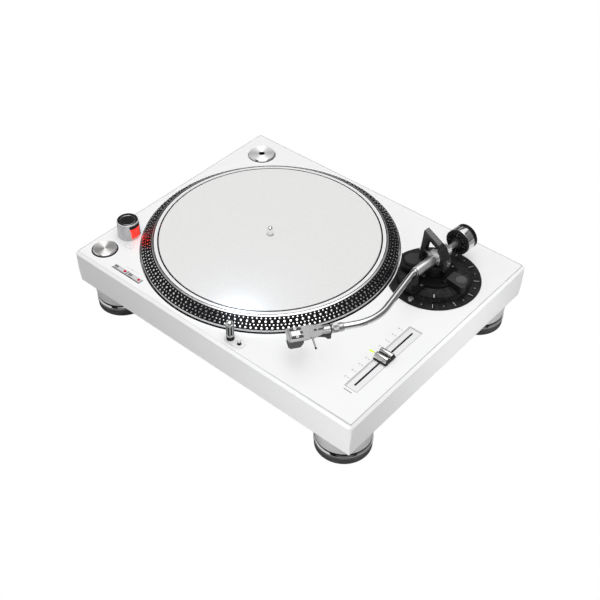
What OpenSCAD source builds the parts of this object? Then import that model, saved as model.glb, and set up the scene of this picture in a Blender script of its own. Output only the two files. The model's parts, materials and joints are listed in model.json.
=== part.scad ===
// Direct drive turntable with an S-shaped tonearm.
// Millimetres, +Z up, +X right, +Y to the rear. The origin is on the floor, under the middle of the plinth.

/* [Plinth] */
// Width of the plinth
plinth_w = 450; // [444:1:480]
// Depth of the plinth
plinth_d = 351; // [349:1:380]
// Height of the plinth
plinth_h = 48.5; // [47:0.5:60]
// Bevel along the top edges
plinth_bevel = 3.5; // [2:0.5:4.5]
// How far the side walls lean in at the bottom
plinth_draft = 2.2; // [1:0.1:3]
// Radius of the four upright corners
plinth_corner = 5; // [3:0.5:8]
// Thickness of the side walls
wall = 3.5; // [2.5:0.5:4.5]
// Thickness of the deck
deck = 4; // [3:0.5:5]
// Thickness of the bottom cover
cover_t = 3; // [2:0.5:4]

/* [Feet] */
// Height of the plinth's underside above the floor
foot_h = 38.5; // [34:0.5:46]
// Distance of a foot's axis from the plinth's sides
foot_inset = 38.5; // [37:0.5:44]
// Top radius of the foot's cone
foot_top_r = 34; // [31:0.5:35]
// Lower radius of the foot's cone
foot_low_r = 32; // [30:0.5:33]
// Radius of the groove under the cone
foot_neck_r = 29.5; // [26:0.5:30]
// Radius of the bright band
foot_band_r = 32.6; // [30.6:0.2:34]
// Height of the groove
foot_neck_h = 4; // [3:0.5:6]
// Height of the bright band
foot_band_h = 5.5; // [4:0.5:8]
// Height of the rubber pad
foot_pad_h = 9.5; // [7:0.5:12]
// Radius of the levelling stud
stud_r = 4; // [3:0.5:5]

/* [Platter] */
// Distance of the platter's axis from the plinth's left side
platter_inset = 177.5; // [176:0.5:180]
// Outer radius of the platter
platter_r = 164.5; // [160:0.5:165]
// Height of the platter's bright lip above the deck
lip_z = 2.9; // [2:0.1:4]
// Height of the sloping dotted band
band_h = 10.3; // [9:0.1:11]
// Run of the sloping dotted band
band_run = 11.5; // [10:0.5:13]
// Width of the flat rim inside the band
rim_w = 9.2; // [8:0.2:11]
// Thickness of the platter's web
web_t = 5; // [4:0.5:7]
// Depth of the round well in the deck
well_depth = 14; // [13:0.5:15]
// Gap between the platter and its well
well_gap = 2.5; // [2:0.1:3]
// Thickness of the slipmat
mat_t = 1.7; // [1:0.1:3]
// Radius of the spindle
spindle_r = 3.57; // [3.5:0.01:3.6]
// Height of the spindle above the mat
spindle_h = 12; // [10:0.5:16]

/* [Motor] */
// Radius of the bearing shaft
shaft_r = 4; // [4:0.1:6]
// Depth of the bearing shaft under the deck
shaft_depth = 36; // [32:0.5:38]
// Outer radius of the bearing housing
bearing_r = 11; // [9:0.5:14]
// Outer radius of the rotor magnet
rotor_r = 60; // [52:1:70]
// Width of the rotor magnet
rotor_w = 15; // [10:1:18]
// Number of coils
coil_count = 12; // [9:1:15]
// Radius of one coil
coil_r = 8; // [6:0.5:9]

/* [Tonearm base] */
// Distance of the tonearm's pivot from the platter's axis, across
pivot_dx = 199; // [197:0.5:202]
// Distance of the tonearm's pivot from the platter's axis, to the rear
pivot_dy = 80; // [77:0.5:83]
// Radius of the scale plate
scale_r = 58.3; // [56.5:0.1:60]
// Thickness of the scale plate
scale_t = 1.2; // [1:0.1:1.6]
// Radius of the height ring
ring_r = 45.5; // [43:0.5:46]
// Height of the height ring
ring_h = 6; // [5:0.5:8]
// Number of ribs on the height ring
ring_ribs = 60; // [40:2:72]
// Radius of the lifting column
column_r = 20; // [17:0.5:21]
// Radius of the arm mount's round flange
mount_r = 28; // [26.5:0.5:29]
// Thickness of the arm mount's flange
mount_t = 4.2; // [3.6:0.1:5]
// Radius of the anti-skate drum
drum_r = 15.5; // [14.5:0.5:16]
// Radius of the anti-skate dial
skate_r = 11.5; // [10:0.5:12]
// Radius of the finger pad on the cueing lever
pad_r = 7; // [6:0.5:7.5]

/* [Tonearm] */
// Parked angle of the arm, inward from the front to rear line
arm_angle = 4.5; // [3:0.5:6]
// Height of the arm's pivot above the yoke's lower bar
pivot_rise = 8.2; // [7:0.1:11]
// Height of the yoke's top corner above the arm's pivot
arch_rise = 33.5; // [30:0.5:38]
// Thickness of the yoke's legs
leg_t = 6; // [4.5:0.5:6.5]
// Thickness of the yoke, front to rear
yoke_t = 9; // [7:0.5:9.5]
// Outer radius of the arm tube
tube_r = 4.25; // [3.8:0.05:4.5]
// Wall of the arm tube
tube_wall = 0.9; // [0.6:0.1:1.2]
// Length of the grey sleeve in front of the pivot
sleeve_len = 42; // [40:0.5:44]
// Radius of the sleeve
sleeve_r = 6; // [5.6:0.1:6.2]
// First bend of the tube, outward
bend_out = 15; // [12:0.5:17]
// Radius of the first bend
bend_out_r = 20; // [16:1:30]
// Straight run between the bends
tube_run = 63; // [55:1:70]
// Turn of the headshell from the arm's axis
head_angle = 30.5; // [28:0.5:33]
// Radius of the second bend
bend_in_r = 61; // [50:1:70]
// Straight end of the tube behind the headshell
tube_tail = 28.6; // [26:0.2:32]
// Radius of the locking collar
collar_r = 5.4; // [5:0.1:6]
// Length of the locking collar
collar_len = 15; // [12:0.5:18]
// Radius of the counterweight
weight_r = 16.4; // [14:0.2:16.6]
// Length of the counterweight
weight_len = 17.5; // [15:0.5:20]
// Depth of the hollow in the counterweight's rear face
weight_hollow = 9; // [5:0.5:12]
// Distance of the force dial behind the pivot
weight_y = 38; // [37:0.5:41]
// Thickness of the force dial
dial_t = 4.5; // [3.5:0.5:6]

/* [Headshell] */
// Length of the headshell
shell_len = 51; // [49:0.5:54]
// Width of the headshell's front
shell_w = 20; // [19:0.5:22]
// Thickness of the headshell's plate
shell_t = 3.2; // [2.5:0.1:4]
// Spacing of the cartridge screws
cart_pitch = 12.7; // [12.5:0.1:13]
// Height from the headshell's underside to the stylus tip
cart_h = 17.5; // [16:0.1:18]
// Width of the cartridge
cart_w = 14.8; // [14:0.2:16]

/* [Controls] */
// Start and stop button, from the left side
start_x_in = 27; // [25:0.5:30]
// Start and stop button, from the front
start_y_in = 28; // [26:0.5:30]
// Radius of the start and stop button
start_r = 15.3; // [13:0.1:16]
// Strobe tower, from the left side
tower_x_in = 28; // [25:0.5:28.5]
// Strobe tower, from the front
tower_y_in = 69; // [66:0.5:70]
// Radius of the strobe tower's foot
tower_r = 14.8; // [13.8:0.1:15]
// Height of the strobe tower
tower_h = 23.7; // [22:0.1:28]
// First speed button, from the left side
speed_x_in = 71.4; // [69:0.1:72]
// Distance between the speed buttons
speed_pitch = 24.7; // [24.5:0.1:25.5]
// Speed buttons, from the front
speed_y_in = 14.9; // [13.5:0.1:15.2]
// Width of a speed button
speed_w = 22.3; // [18:0.1:22.5]
// Depth of a speed button
speed_d = 5.8; // [5:0.1:6.4]
// Target lamp, to the right of the platter's axis
lamp_dx = 81.5; // [79:0.5:86]
// Target lamp and its button, from the front
lamp_y_in = 15.5; // [14.5:0.5:16]
// Radius of the target lamp
lamp_r = 4.8; // [4:0.1:5]
// Height of the raised target lamp
lamp_h = 28; // [24:0.5:30]
// Distance from the lamp to its button
lamp_pitch = 14; // [13:0.5:17]
// Radius of the lamp's button
lamp_button_r = 2.4; // [2:0.1:3]
// Pitch fader, from the right side
fader_x_in = 36.5; // [34:0.5:38]
// Middle of the pitch fader, from the front
fader_y_in = 106.5; // [102:0.5:110]
// Width of the fader plate
fader_w = 18; // [16:0.5:20]
// Length of the fader plate
fader_len = 123; // [118:1:128]
// Travel of the fader knob
fader_travel = 100; // [90:1:102]
// Distance of the pitch lamp from the fader's axis
pitch_lamp_offset = 18; // [17:0.5:20]
// Adapter disc, from the left side
adapter_x_in = 38; // [35:0.5:39]
// Adapter disc, from the rear
adapter_y_in = 38.5; // [36:0.5:39]
// Radius of the adapter disc
adapter_r = 19.05; // [18:0.05:20]
// Height of the adapter disc
adapter_h = 8; // [6:0.5:9]
// How far the controls stand above the deck
control_rise = 2.6; // [2:0.1:3.5]
// Travel of a button
press = 1.2; // [0.8:0.1:1.4]

/* [Rear] */
// Middle of the jack panel, from the right side
jack_in = 115; // [105:1:130]
// Width of the jack panel
jack_w = 96; // [92:1:110]
// Height of the jack panel
jack_h = 20; // [18:0.5:22]
// Depth of the recess behind the rear wall
jack_depth = 16; // [15:0.5:18]
// Middle of the mains inlet, from the left side
inlet_in = 75; // [65:1:85]

/* [Fits] */
// Gap between pieces that move past each other
gap = 0.3; // [0.3:0.05:0.4]
// Radial clearance of a running shaft
run = 0.05; // [0.03:0.01:0.08]

/* [Hidden] */
$fn = 96;

// Levels of the plinth, from the floor
top = foot_h + plinth_h;
cover_top = foot_h + cover_t;
cave_w = plinth_w - 2 * (plinth_draft + wall);
cave_d = plinth_d - 2 * (plinth_draft + wall);
rear_in = cave_d / 2;
left = -plinth_w / 2;
front = -plinth_d / 2;

// Levels from here on are from the deck
platter_x = left + platter_inset;
platter_y = 0;
well_r = platter_r + well_gap;
cup_floor = 3.5;
well_low = -well_depth - cup_floor;
rim_z = lip_z + band_h;
lip_w = 0.6;
band_r = platter_r - lip_w - band_run;
mat_proud = 0.8;
mat_z = rim_z + mat_proud;
mat_r = band_r - rim_w - gap;
seat_z = mat_z - mat_t - gap;
web_z = seat_z - web_t;
skirt_t = 12;
skirt_z = -10;
hub_r = 24;
seat_r = spindle_r + 0.2;
hub_z = -6;
rotor_z = -8;
board_t = 1.6;
coil_h = 2.9;
flange_r = bearing_r * 2;
screw_r = 1.5;
boss_r = 4.5;
socket_h = 12;
stud_h = 9;
standoff_h = 9;

// Tonearm base
pivot_x = platter_x + pivot_dx;
pivot_y = platter_y + pivot_dy;
guide_r = column_r + 4;
guide_depth = 30;
ring_z = scale_t + gap;
ring_top = ring_z + ring_h;
mount_z = ring_top + gap;
flange_top = mount_z + mount_t;
boss_top = flange_top + 4;
drum_top = flange_top + 5;
drum_at = [-27, -9];
skate_t = 4;
skate_axle_r = 3;
bar_z = drum_top + gap + skate_t + 0.5;
bar_t = 4;
arm_z = bar_z + bar_t + pivot_rise;
yaw_z = 0.6;
mount_boss_r = 14;
lift_r = 24;
lift_bar = 3;
lift_angle = -108;
lift_pin_r = 2.5;
lift_travel = 5;
lift_top = arm_z - sleeve_r - gap - lift_travel;
cue_x = 21;
cue_root_r = 3.2;
cue_z = mount_z + cue_root_r + 0.4;
cue_y = [-6, 12];
ear_t = 2.9;
lever_h = 9;
pad_at = [36, 6];
pad_dip = 0.6;
lever_tip = [43.5, -2];
lever_tip_r = 4.5;
knob_at = [7, -52];

// Tonearm
pin_r = 1.5;
pin_seat = 4;
block_w = 18;
block_d = 10;
block_h = 12;
leg_in = block_w / 2 + 2.5;
leg_out = leg_in + leg_t;
yoke_top = arm_z + arch_rise;
yoke_slope = 25;
yoke_lean = 30;
yoke_foot = leg_out + 6;
yoke_crown = leg_out + 1.5;
left_face = yoke_foot - (yoke_foot - yoke_crown) * (arm_z - bar_z) / (yoke_top - bar_z);
rear_w = 11;
rear_len = 23;
yoke_boss_r = 6.2;
yoke_hub_r = 12;
stub_r = 3.5;
core_r = 7;
core_y = weight_y - 0.5;
core_len = dial_t + gap + weight_len + 0.5;
socket_len = 20;
s1_x = bend_out_r * (1 - cos(bend_out)) + tube_run * sin(bend_out);
s1_y = -sleeve_len - bend_out_r * sin(bend_out) - tube_run * cos(bend_out);
tail_x = s1_x + bend_in_r * (cos(head_angle) - cos(bend_out));
tail_y = s1_y - bend_in_r * (sin(bend_out) + sin(head_angle));
rest_y = [-sleeve_len - 6.5, -sleeve_len - 1.5];
rest_z = arm_z - tube_r - 2 * gap;
rest_horn = tube_r + 2.4;

// Headshell, from the tube's end
shell_y = -tube_tail - gap;
shell_end = shell_y - shell_len;
shell_low = -0.5;
shell_neck_r = 5;
cart_front = shell_end + 1.2;
cart_body_h = 13.3;
cart_len = 17;
slot_y = shell_end + 11;
finger_r = 0.9;
finger_len = 15.2;
finger_ball_r = 1.3;

// Controls
start_x = left + start_x_in;
start_y = front + start_y_in;
tower_x = left + tower_x_in;
tower_y = front + tower_y_in;
tower_lip = 2;
dial_well = 5.5;
window_w = 14;
window_z = 2;
shade_h = 3;
speed_x = left + speed_x_in;
speed_y = front + speed_y_in;
lamp_x = platter_x + lamp_dx;
lamp_y = front + lamp_y_in;
lamp_bush = 2;
lamp_tail = 8;
lamp_plate_t = 0.8;
fader_x = plinth_w / 2 - fader_x_in;
fader_y = front + fader_y_in;
fader_drop = 1.2;
fader_stem = [1.6, 6];
track_w = 10;
track_h = 9;
track_end = 11;
track_groove = 5;
adapter_x = left + adapter_x_in;
adapter_y = plinth_d / 2 - adapter_y_in;
adapter_play = 0.5;
adapter_well = adapter_h - control_rise + gap;
switch_h = 2.4;
stem_z = well_low - 1;
switch_z = stem_z - gap - press;
key_z = switch_z - switch_h - board_t;
key_at = [(start_x + speed_x + speed_pitch) / 2, speed_y + 13];
key_size = [speed_x + speed_pitch - start_x + 32, 38];
key_posts = [start_x + start_r + 5, key_at[0] + key_size[0] / 2 - 5];

// Rear
tray_z = foot_h + 8 + jack_h / 2;
tray_y = rear_in + wall - jack_depth;
tray_t = 1.6;
jack_x = plinth_w / 2 - jack_in;
jack_len = jack_depth - tray_t - 5;
inlet_x = left + inlet_in;
inlet_size = [26, 14];
switch_at = 34;
jack_spots = [-34, -16];
jack_r = 4.15;
jack_nut_r = 5.4;
jack_hole_r = 1.7;
ground_at = 8;
ground_r = 1.6;
ground_nut_r = 4.5;
switch_slot = [8.2, 3.8];
main_at = [platter_x + 107.5, 69.8 - rear_in];
main_size = [118, 78];
supply_at = [left + 90, rear_in - 64.8];
supply_size = [74, 58, 2];
supply_core = [40, 46, 18];
capacitor_r = 8;
capacitor_h = 16;
vent = [3, 44];
vent_pitch = 9;

boss_spots = [
    for (sx = [-1, 1], sy = [-1, 1]) [sx * (cave_w / 2 - 9.3), sy * 60],
    for (sx = [-1, 1]) [sx * 90, -cave_d / 2 + 9.8],
    for (sx = [-1, 1]) [sx * 30, cave_d / 2 - 9.8]
];
foot_dx = plinth_w / 2 - foot_inset;
foot_dy = plinth_d / 2 - foot_inset;
foot_spots = [[-foot_dx, -foot_dy], [foot_dx, -foot_dy], [-foot_dx, foot_dy], [foot_dx, foot_dy]];

// Shared shapes
function arc(c, r, a0, a1, n) = [for (i = [0:n]) let (a = a0 + (a1 - a0) * i / n) c + r * [cos(a), sin(a)]];

function ribbed(r, depth, n) = [
    for (i = [0:2 * n - 1]) let (a = 180 * i / n) (r - (i % 2) * depth) * [cos(a), sin(a)]
];

module on_deck(x, y, z = 0) translate([x, y, top + z]) children();

module at_platter(z = 0) on_deck(platter_x, platter_y, z) children();

module at_arm() on_deck(pivot_x, pivot_y) rotate([0, 0, -arm_angle]) children();

module at_pivot() at_arm() translate([0, 0, arm_z]) children();

module at_head() at_pivot() translate([tail_x, tail_y, 0]) rotate([0, 0, -head_angle]) children();

module along_x(x = 0) translate([x, 0, 0]) rotate([0, 90, 0]) children();

module along_y(y = 0) translate([0, y, 0]) rotate([-90, 0, 0]) children();

module side_view() rotate([90, 0, 90]) children();

module front_view() rotate([90, 0, 0]) children();

module slab(w, d, h) translate([-w / 2, -d / 2, 0]) cube([w, d, h]);

module ring(ro, ri, h) difference() {
    cylinder(r = ro, h = h);
    translate([0, 0, -1]) cylinder(r = ri, h = h + 2);
}

module rounded_plan(w, d, r) {
    square([w - 2 * r, d], center = true);
    square([w, d - 2 * r], center = true);
    for (sx = [-1, 1], sy = [-1, 1]) translate([sx * (w / 2 - r), sy * (d / 2 - r)]) circle(r = r);
}

module slot_plan(w, len) {
    square([w, len - w], center = true);
    for (s = [-1, 1]) translate([0, s * (len - w) / 2]) circle(d = w);
}

// Plinth and what is fixed to it
function side_profile(half) = [
    [-half + plinth_draft, 0], [half - plinth_draft, 0], [half, plinth_h - plinth_bevel],
    [half - plinth_bevel, plinth_h], [-half + plinth_bevel, plinth_h], [-half, plinth_h - plinth_bevel]
];

module plinth_block() translate([0, 0, foot_h]) intersection() {
    front_view() linear_extrude(plinth_d + 2, center = true) polygon(side_profile(plinth_w / 2));
    side_view() linear_extrude(plinth_w + 2, center = true) polygon(side_profile(plinth_d / 2));
    linear_extrude(plinth_h) rounded_plan(plinth_w, plinth_d, plinth_corner);
}

module plinth_cavity() difference() {
    translate([0, 0, foot_h - 1])
        linear_extrude(plinth_h - deck + 1) rounded_plan(cave_w, cave_d, plinth_corner);
    at_platter(well_low) cylinder(r = well_r + wall, h = plinth_h);
    on_deck(adapter_x, adapter_y, -adapter_well - cup_floor)
        cylinder(r = adapter_r + adapter_play + wall, h = plinth_h);
    for (p = boss_spots) translate([p[0], p[1], cover_top]) cylinder(r = boss_r, h = plinth_h);
    for (x = key_posts) on_deck(x, key_at[1] + 13, key_z + board_t) cylinder(r = 3, h = plinth_h);
}

module rear_window(x, size) translate([x, 0, tray_z]) along_y(rear_in - 1)
    linear_extrude(plinth_d) square([size[0] + gap, size[1] + gap], center = true);

module plinth_shell() color("white") difference() {
    plinth_block();
    plinth_cavity();
    at_platter(-well_depth) cylinder(r = well_r, h = plinth_h);
    at_platter(-plinth_h) cylinder(r = bearing_r + gap, h = plinth_h);
    on_deck(adapter_x, adapter_y, -adapter_well) cylinder(r = adapter_r + adapter_play, h = plinth_h);
    on_deck(pivot_x, pivot_y, -deck - 1) cylinder(r = guide_r + gap, h = plinth_h);
    on_deck(start_x, start_y, -deck - 1) cylinder(r = start_r + gap, h = plinth_h);
    on_deck(tower_x, tower_y, -deck - 1) cylinder(r = 5, h = plinth_h);
    for (i = [0, 1]) on_deck(speed_x + i * speed_pitch, speed_y, -deck - 1)
        slab(speed_w + 2 * gap, speed_d + 2 * gap, plinth_h);
    on_deck(lamp_x, lamp_y, -deck - 1) cylinder(r = lamp_r + lamp_bush + gap, h = plinth_h);
    on_deck(lamp_x + lamp_pitch, lamp_y, -deck - 1)
        cylinder(r = lamp_button_r + lamp_bush + gap, h = plinth_h);
    on_deck(lamp_x, lamp_y, -lamp_plate_t) linear_extrude(plinth_h) lamp_outline(lamp_r + lamp_bush + gap);
    on_deck(fader_x, fader_y, -fader_drop) slab(fader_w + gap, fader_len + gap, plinth_h);
    on_deck(fader_x, fader_y, -deck - 1) slab(5, fader_travel + 12, plinth_h);
    on_deck(fader_x - pitch_lamp_offset, fader_y, -deck - 1) slab(6 + gap, 2 + gap, plinth_h);
    rear_window(jack_x, [jack_w, jack_h]);
    rear_window(inlet_x, inlet_size);
    for (p = boss_spots) translate([p[0], p[1], cover_top - 1]) cylinder(r = screw_r, h = 13);
}

module bottom_cover() color("dimgray") difference() {
    union() {
        translate([0, 0, foot_h])
            linear_extrude(cover_t) rounded_plan(cave_w - 2 * gap, cave_d - 2 * gap, plinth_corner);
        for (p = foot_spots) translate([p[0], p[1], foot_h]) cylinder(r = stud_r + 5, h = socket_h);
        for (sx = [-1, 1], sy = [-1, 1])
            translate([main_at[0], main_at[1], foot_h])
                translate([sx * (main_size[0] / 2 - 7), sy * (main_size[1] / 2 - 7)])
                    cylinder(r = 3.5, h = standoff_h);
    }
    for (p = foot_spots) translate([p[0], p[1], foot_h - 1]) cylinder(r = stud_r + run, h = socket_h + 2);
    for (p = boss_spots) translate([p[0], p[1], foot_h - 1]) {
        cylinder(r = screw_r + 0.2, h = socket_h);
        cylinder(r = 2 * screw_r + gap, h = 1 + cover_t / 2);
    }
    for (i = [-3:3]) translate([supply_at[0] + i * vent_pitch, supply_at[1], foot_h - 1])
        linear_extrude(socket_h) slot_plan(vent[0], vent[1]);
}

module cover_screws() color("silver") for (p = boss_spots) translate([p[0], p[1], foot_h + gap / 2]) {
    cylinder(r = 2 * screw_r, h = (cover_t - gap) / 2);
    cylinder(r = screw_r - run, h = cover_t + 9);
}

module motor_stator() color("darkgreen") at_platter(-well_depth) {
    ring(rotor_r + rotor_w, flange_r + 1, board_t);
    for (i = [0:coil_count - 1]) rotate([0, 0, 360 * i / coil_count])
        translate([rotor_r - rotor_w / 2, 0, board_t]) ring(coil_r, coil_r / 2, coil_h);
}

module bearing_housing() color("silver") at_platter() difference() {
    union() {
        translate([0, 0, -shaft_depth - 2]) cylinder(r = bearing_r, h = shaft_depth + 2 + hub_z - 0.5);
        translate([0, 0, -well_depth]) cylinder(r = flange_r, h = 3);
    }
    translate([0, 0, -shaft_depth - gap]) cylinder(r = shaft_r + run, h = plinth_h);
}

module main_board() color("darkgreen") translate([main_at[0], main_at[1], foot_h + standoff_h]) {
    slab(main_size[0], main_size[1], board_t);
    for (i = [0:3]) translate([-36 + 24 * i, 10, board_t]) slab(14, 14, 2.5);
    for (i = [0:2]) translate([-30 + 30 * i, -22, board_t]) cylinder(r = 6, h = 10);
}

module power_supply() color("gray") translate([supply_at[0], supply_at[1], cover_top]) {
    slab(supply_size[0], supply_size[1], supply_size[2]);
    translate([5 - (supply_size[0] - supply_core[0]) / 2, 0, supply_size[2]])
        slab(supply_core[0], supply_core[1], supply_core[2]);
    for (s = [-1, 1]) translate([supply_size[0] / 2 - capacitor_r - 5, s * (capacitor_r + 6), supply_size[2]])
        cylinder(r = capacitor_r, h = capacitor_h);
}

module power_inlet() color("#222222") translate([inlet_x, 0, tray_z]) along_y(tray_y) {
    difference() {
        linear_extrude(jack_depth) square(inlet_size, center = true);
        translate([0, 0, tray_t]) linear_extrude(jack_depth) rounded_plan(21, 9, 4);
    }
    for (s = [-1, 1]) translate([s * 4.3, 0, tray_t - 0.5]) cylinder(r = 1.2, h = jack_len - 1);
}

module jack_panel() color("#303030") translate([jack_x, 0, tray_z]) along_y(tray_y) difference() {
    linear_extrude(jack_depth) square([jack_w, jack_h], center = true);
    translate([0, 0, tray_t])
        linear_extrude(jack_depth) square([jack_w - 2 * tray_t, jack_h - 2 * tray_t], center = true);
    translate([switch_at, 0, -1]) linear_extrude(4) square(switch_slot, center = true);
}

module phono_jacks() color("gold") translate([jack_x, 0, tray_z]) along_y(tray_y + tray_t) {
    for (x = jack_spots) translate([x, 0, 0]) difference() {
        union() {
            cylinder(r = jack_nut_r, h = 1.5);
            cylinder(r = jack_r, h = jack_len);
        }
        translate([0, 0, 2]) cylinder(r = jack_hole_r, h = jack_len);
    }
    translate([ground_at, 0, 0]) {
        cylinder(r = ground_r, h = jack_len);
        translate([0, 0, 3]) cylinder(r = ground_nut_r, h = jack_len - 4);
    }
}

module strobe_tower() color("gray") on_deck(tower_x, tower_y) difference() {
    rotate_extrude() polygon([
        [0, 0], [tower_r, 0], [tower_r - 0.8, tower_h - 1.2], [tower_r - 1.2, tower_h - 0.4],
        [tower_r - 1.7, tower_h], [tower_r - tower_lip, tower_h - dial_well], [0, tower_h - dial_well]
    ]);
    translate([0, 0, -1]) cylinder(r = tower_r - 4, h = tower_h - dial_well - 2.5);
    translate([tower_r - 6, -window_w / 2, window_z])
        cube([10, window_w, tower_h - dial_well - window_z - 0.5]);
    translate([0, 0, tower_h - dial_well - 5]) cylinder(r = 2 + run, h = dial_well + 5);
}

module strobe_window() color("red") on_deck(tower_x, tower_y) intersection() {
    cylinder(r = tower_r - 1.2, h = tower_h);
    translate([tower_r - 4, -window_w / 2, window_z])
        cube([10, window_w, tower_h - dial_well - window_z - 0.5 - shade_h]);
}

module strobe_lamp() color("darkgreen") on_deck(tower_x, tower_y) {
    translate([3, -6, 0]) cube([board_t, 12, tower_h - dial_well - 4]);
    for (z = [5, 10]) translate([0, 0, z]) along_x(3 + board_t) cylinder(r = 1.8, h = 4);
}

module fader_plate() color("gainsboro") on_deck(fader_x, fader_y, -fader_drop) difference() {
    slab(fader_w, fader_len, fader_drop - 0.4);
    translate([0, 0, -1]) linear_extrude(3) slot_plan(fader_stem[0] + 0.8, fader_travel + 9);
}

module fader_track() color("dimgray") on_deck(fader_x, fader_y, -deck - track_h) difference() {
    slab(track_w, fader_travel + 2 * track_end, track_h);
    translate([0, 0, track_h - track_groove]) slab(fader_stem[0] + 1.2, fader_travel + 9, track_h);
}

module pitch_lamp() color("limegreen") on_deck(fader_x - pitch_lamp_offset, fader_y, -deck - 2) {
    slab(6, 2, deck + 2 + gap);
    slab(8.5, 5, 2);
}

module key_board() color("darkgreen") on_deck(0, 0, key_z) {
    translate([key_at[0], key_at[1], 0]) slab(key_size[0], key_size[1], board_t);
    for (p = [[start_x, start_y], [speed_x, speed_y], [speed_x + speed_pitch, speed_y]])
        translate([p[0], p[1], board_t]) slab(6, 6, switch_h);
}

module lamp_outline(r) {
    circle(r = r);
    translate([lamp_pitch, 0]) circle(r = r);
    translate([0, -r]) square([lamp_pitch, 2 * r]);
}

module lamp_plate() color("whitesmoke") on_deck(lamp_x, lamp_y) difference() {
    union() {
        translate([0, 0, -lamp_plate_t]) linear_extrude(lamp_plate_t + 0.2) lamp_outline(lamp_r + lamp_bush);
        translate([0, 0, -20]) cylinder(r = lamp_r + lamp_bush, h = 20);
        translate([lamp_pitch, 0, -deck - 3]) cylinder(r = lamp_button_r + lamp_bush, h = deck + 3);
    }
    translate([0, 0, -30]) cylinder(r = lamp_r + run, h = 40);
    translate([lamp_pitch, 0, -deck - 1.5]) cylinder(r = lamp_button_r + run, h = 40);
}

module arm_base_plate() color("#151515") difference() {
    on_deck(pivot_x, pivot_y) {
        cylinder(r = scale_r, h = scale_t);
        translate([0, 0, -guide_depth]) cylinder(r = guide_r, h = guide_depth + ring_top - 0.5);
    }
    at_platter(-1) cylinder(r = well_r + 1.5, h = 1 + 2 * scale_t);
    on_deck(pivot_x, pivot_y, -guide_depth - 1) cylinder(r = column_r + run, h = plinth_h);
}

// Feet, which turn on their studs
module foot_cup(p) color("silver") translate([p[0], p[1], 0]) rotate_extrude() polygon([
    [0, foot_pad_h], [foot_band_r, foot_pad_h], [foot_band_r, foot_pad_h + foot_band_h],
    [foot_neck_r, foot_pad_h + foot_band_h], [foot_neck_r, foot_pad_h + foot_band_h + foot_neck_h],
    [foot_low_r, foot_pad_h + foot_band_h + foot_neck_h], [foot_top_r, foot_h - gap],
    [stud_r, foot_h - gap], [stud_r, foot_h + stud_h], [0, foot_h + stud_h]
]);

module foot_pad(p) color("#333333") translate([p[0], p[1], 0]) rotate_extrude() polygon([
    [0, 0], [foot_band_r - 2.4, 0], [foot_band_r - 0.8, 2], [foot_band_r - 0.4, foot_pad_h], [0, foot_pad_h]
]);

module foot_cup_front_left() foot_cup(foot_spots[0]);

module foot_cup_front_right() foot_cup(foot_spots[1]);

module foot_cup_rear_left() foot_cup(foot_spots[2]);

module foot_cup_rear_right() foot_cup(foot_spots[3]);

module foot_pad_front_left() foot_pad(foot_spots[0]);

module foot_pad_front_right() foot_pad(foot_spots[1]);

module foot_pad_rear_left() foot_pad(foot_spots[2]);

module foot_pad_rear_right() foot_pad(foot_spots[3]);

// Platter and its drive
module platter() color("silver") at_platter() rotate_extrude() polygon([
    [seat_r + run, hub_z], [hub_r, hub_z], [hub_r, web_z], [platter_r - skirt_t, web_z],
    [platter_r - skirt_t, skirt_z], [platter_r, skirt_z], [platter_r, lip_z], [platter_r - lip_w, lip_z],
    [band_r, rim_z], [band_r - 4.3, rim_z], [band_r - 4.3, rim_z - 0.5], [band_r - 5.1, rim_z - 0.5],
    [band_r - 5.1, rim_z], [band_r - rim_w, rim_z], [band_r - rim_w, seat_z], [seat_r + run, seat_z]
]);

module rotor_magnet() color("dimgray") at_platter(rotor_z) ring(rotor_r, rotor_r - rotor_w, web_z - rotor_z);

module spindle() color("silver") at_platter() rotate_extrude() polygon(concat(
    [[0, -shaft_depth], [shaft_r, -shaft_depth], [shaft_r, hub_z], [seat_r, hub_z]],
    [[seat_r, mat_z + gap], [spindle_r, mat_z + gap]],
    arc([0, mat_z + spindle_h - spindle_r], spindle_r, 0, 75, 6), [[0, mat_z + spindle_h - 0.1]]
));

module slipmat() color("gainsboro") at_platter(mat_z - mat_t) ring(mat_r, seat_r + gap, mat_t);

// Tonearm base
module height_ring() color("#1c1c1c") on_deck(pivot_x, pivot_y, ring_z) difference() {
    union() {
        linear_extrude(ring_h - 1) polygon(ribbed(ring_r, 0.8, ring_ribs));
        cylinder(r = ring_r - 1.4, h = ring_h);
    }
    translate([0, 0, -1]) cylinder(r = guide_r + run, h = ring_h + 2);
}

module mount_plan() {
    circle(r = mount_r);
    translate(drum_at) circle(r = drum_r);
    translate([-2, rest_y[0] / 2]) rounded_plan(22, -rest_y[0], 6);
}

module cue_ear(y) translate([cue_x, 0, 0]) {
    translate([-cue_root_r, y, mount_z]) cube([2 * cue_root_r, ear_t, cue_z - mount_z]);
    translate([0, 0, cue_z]) along_y(y) cylinder(r = cue_root_r, h = ear_t);
}

module at_lifter(z) rotate([0, 0, lift_angle]) translate([lift_r, 0, z]) children();

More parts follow.
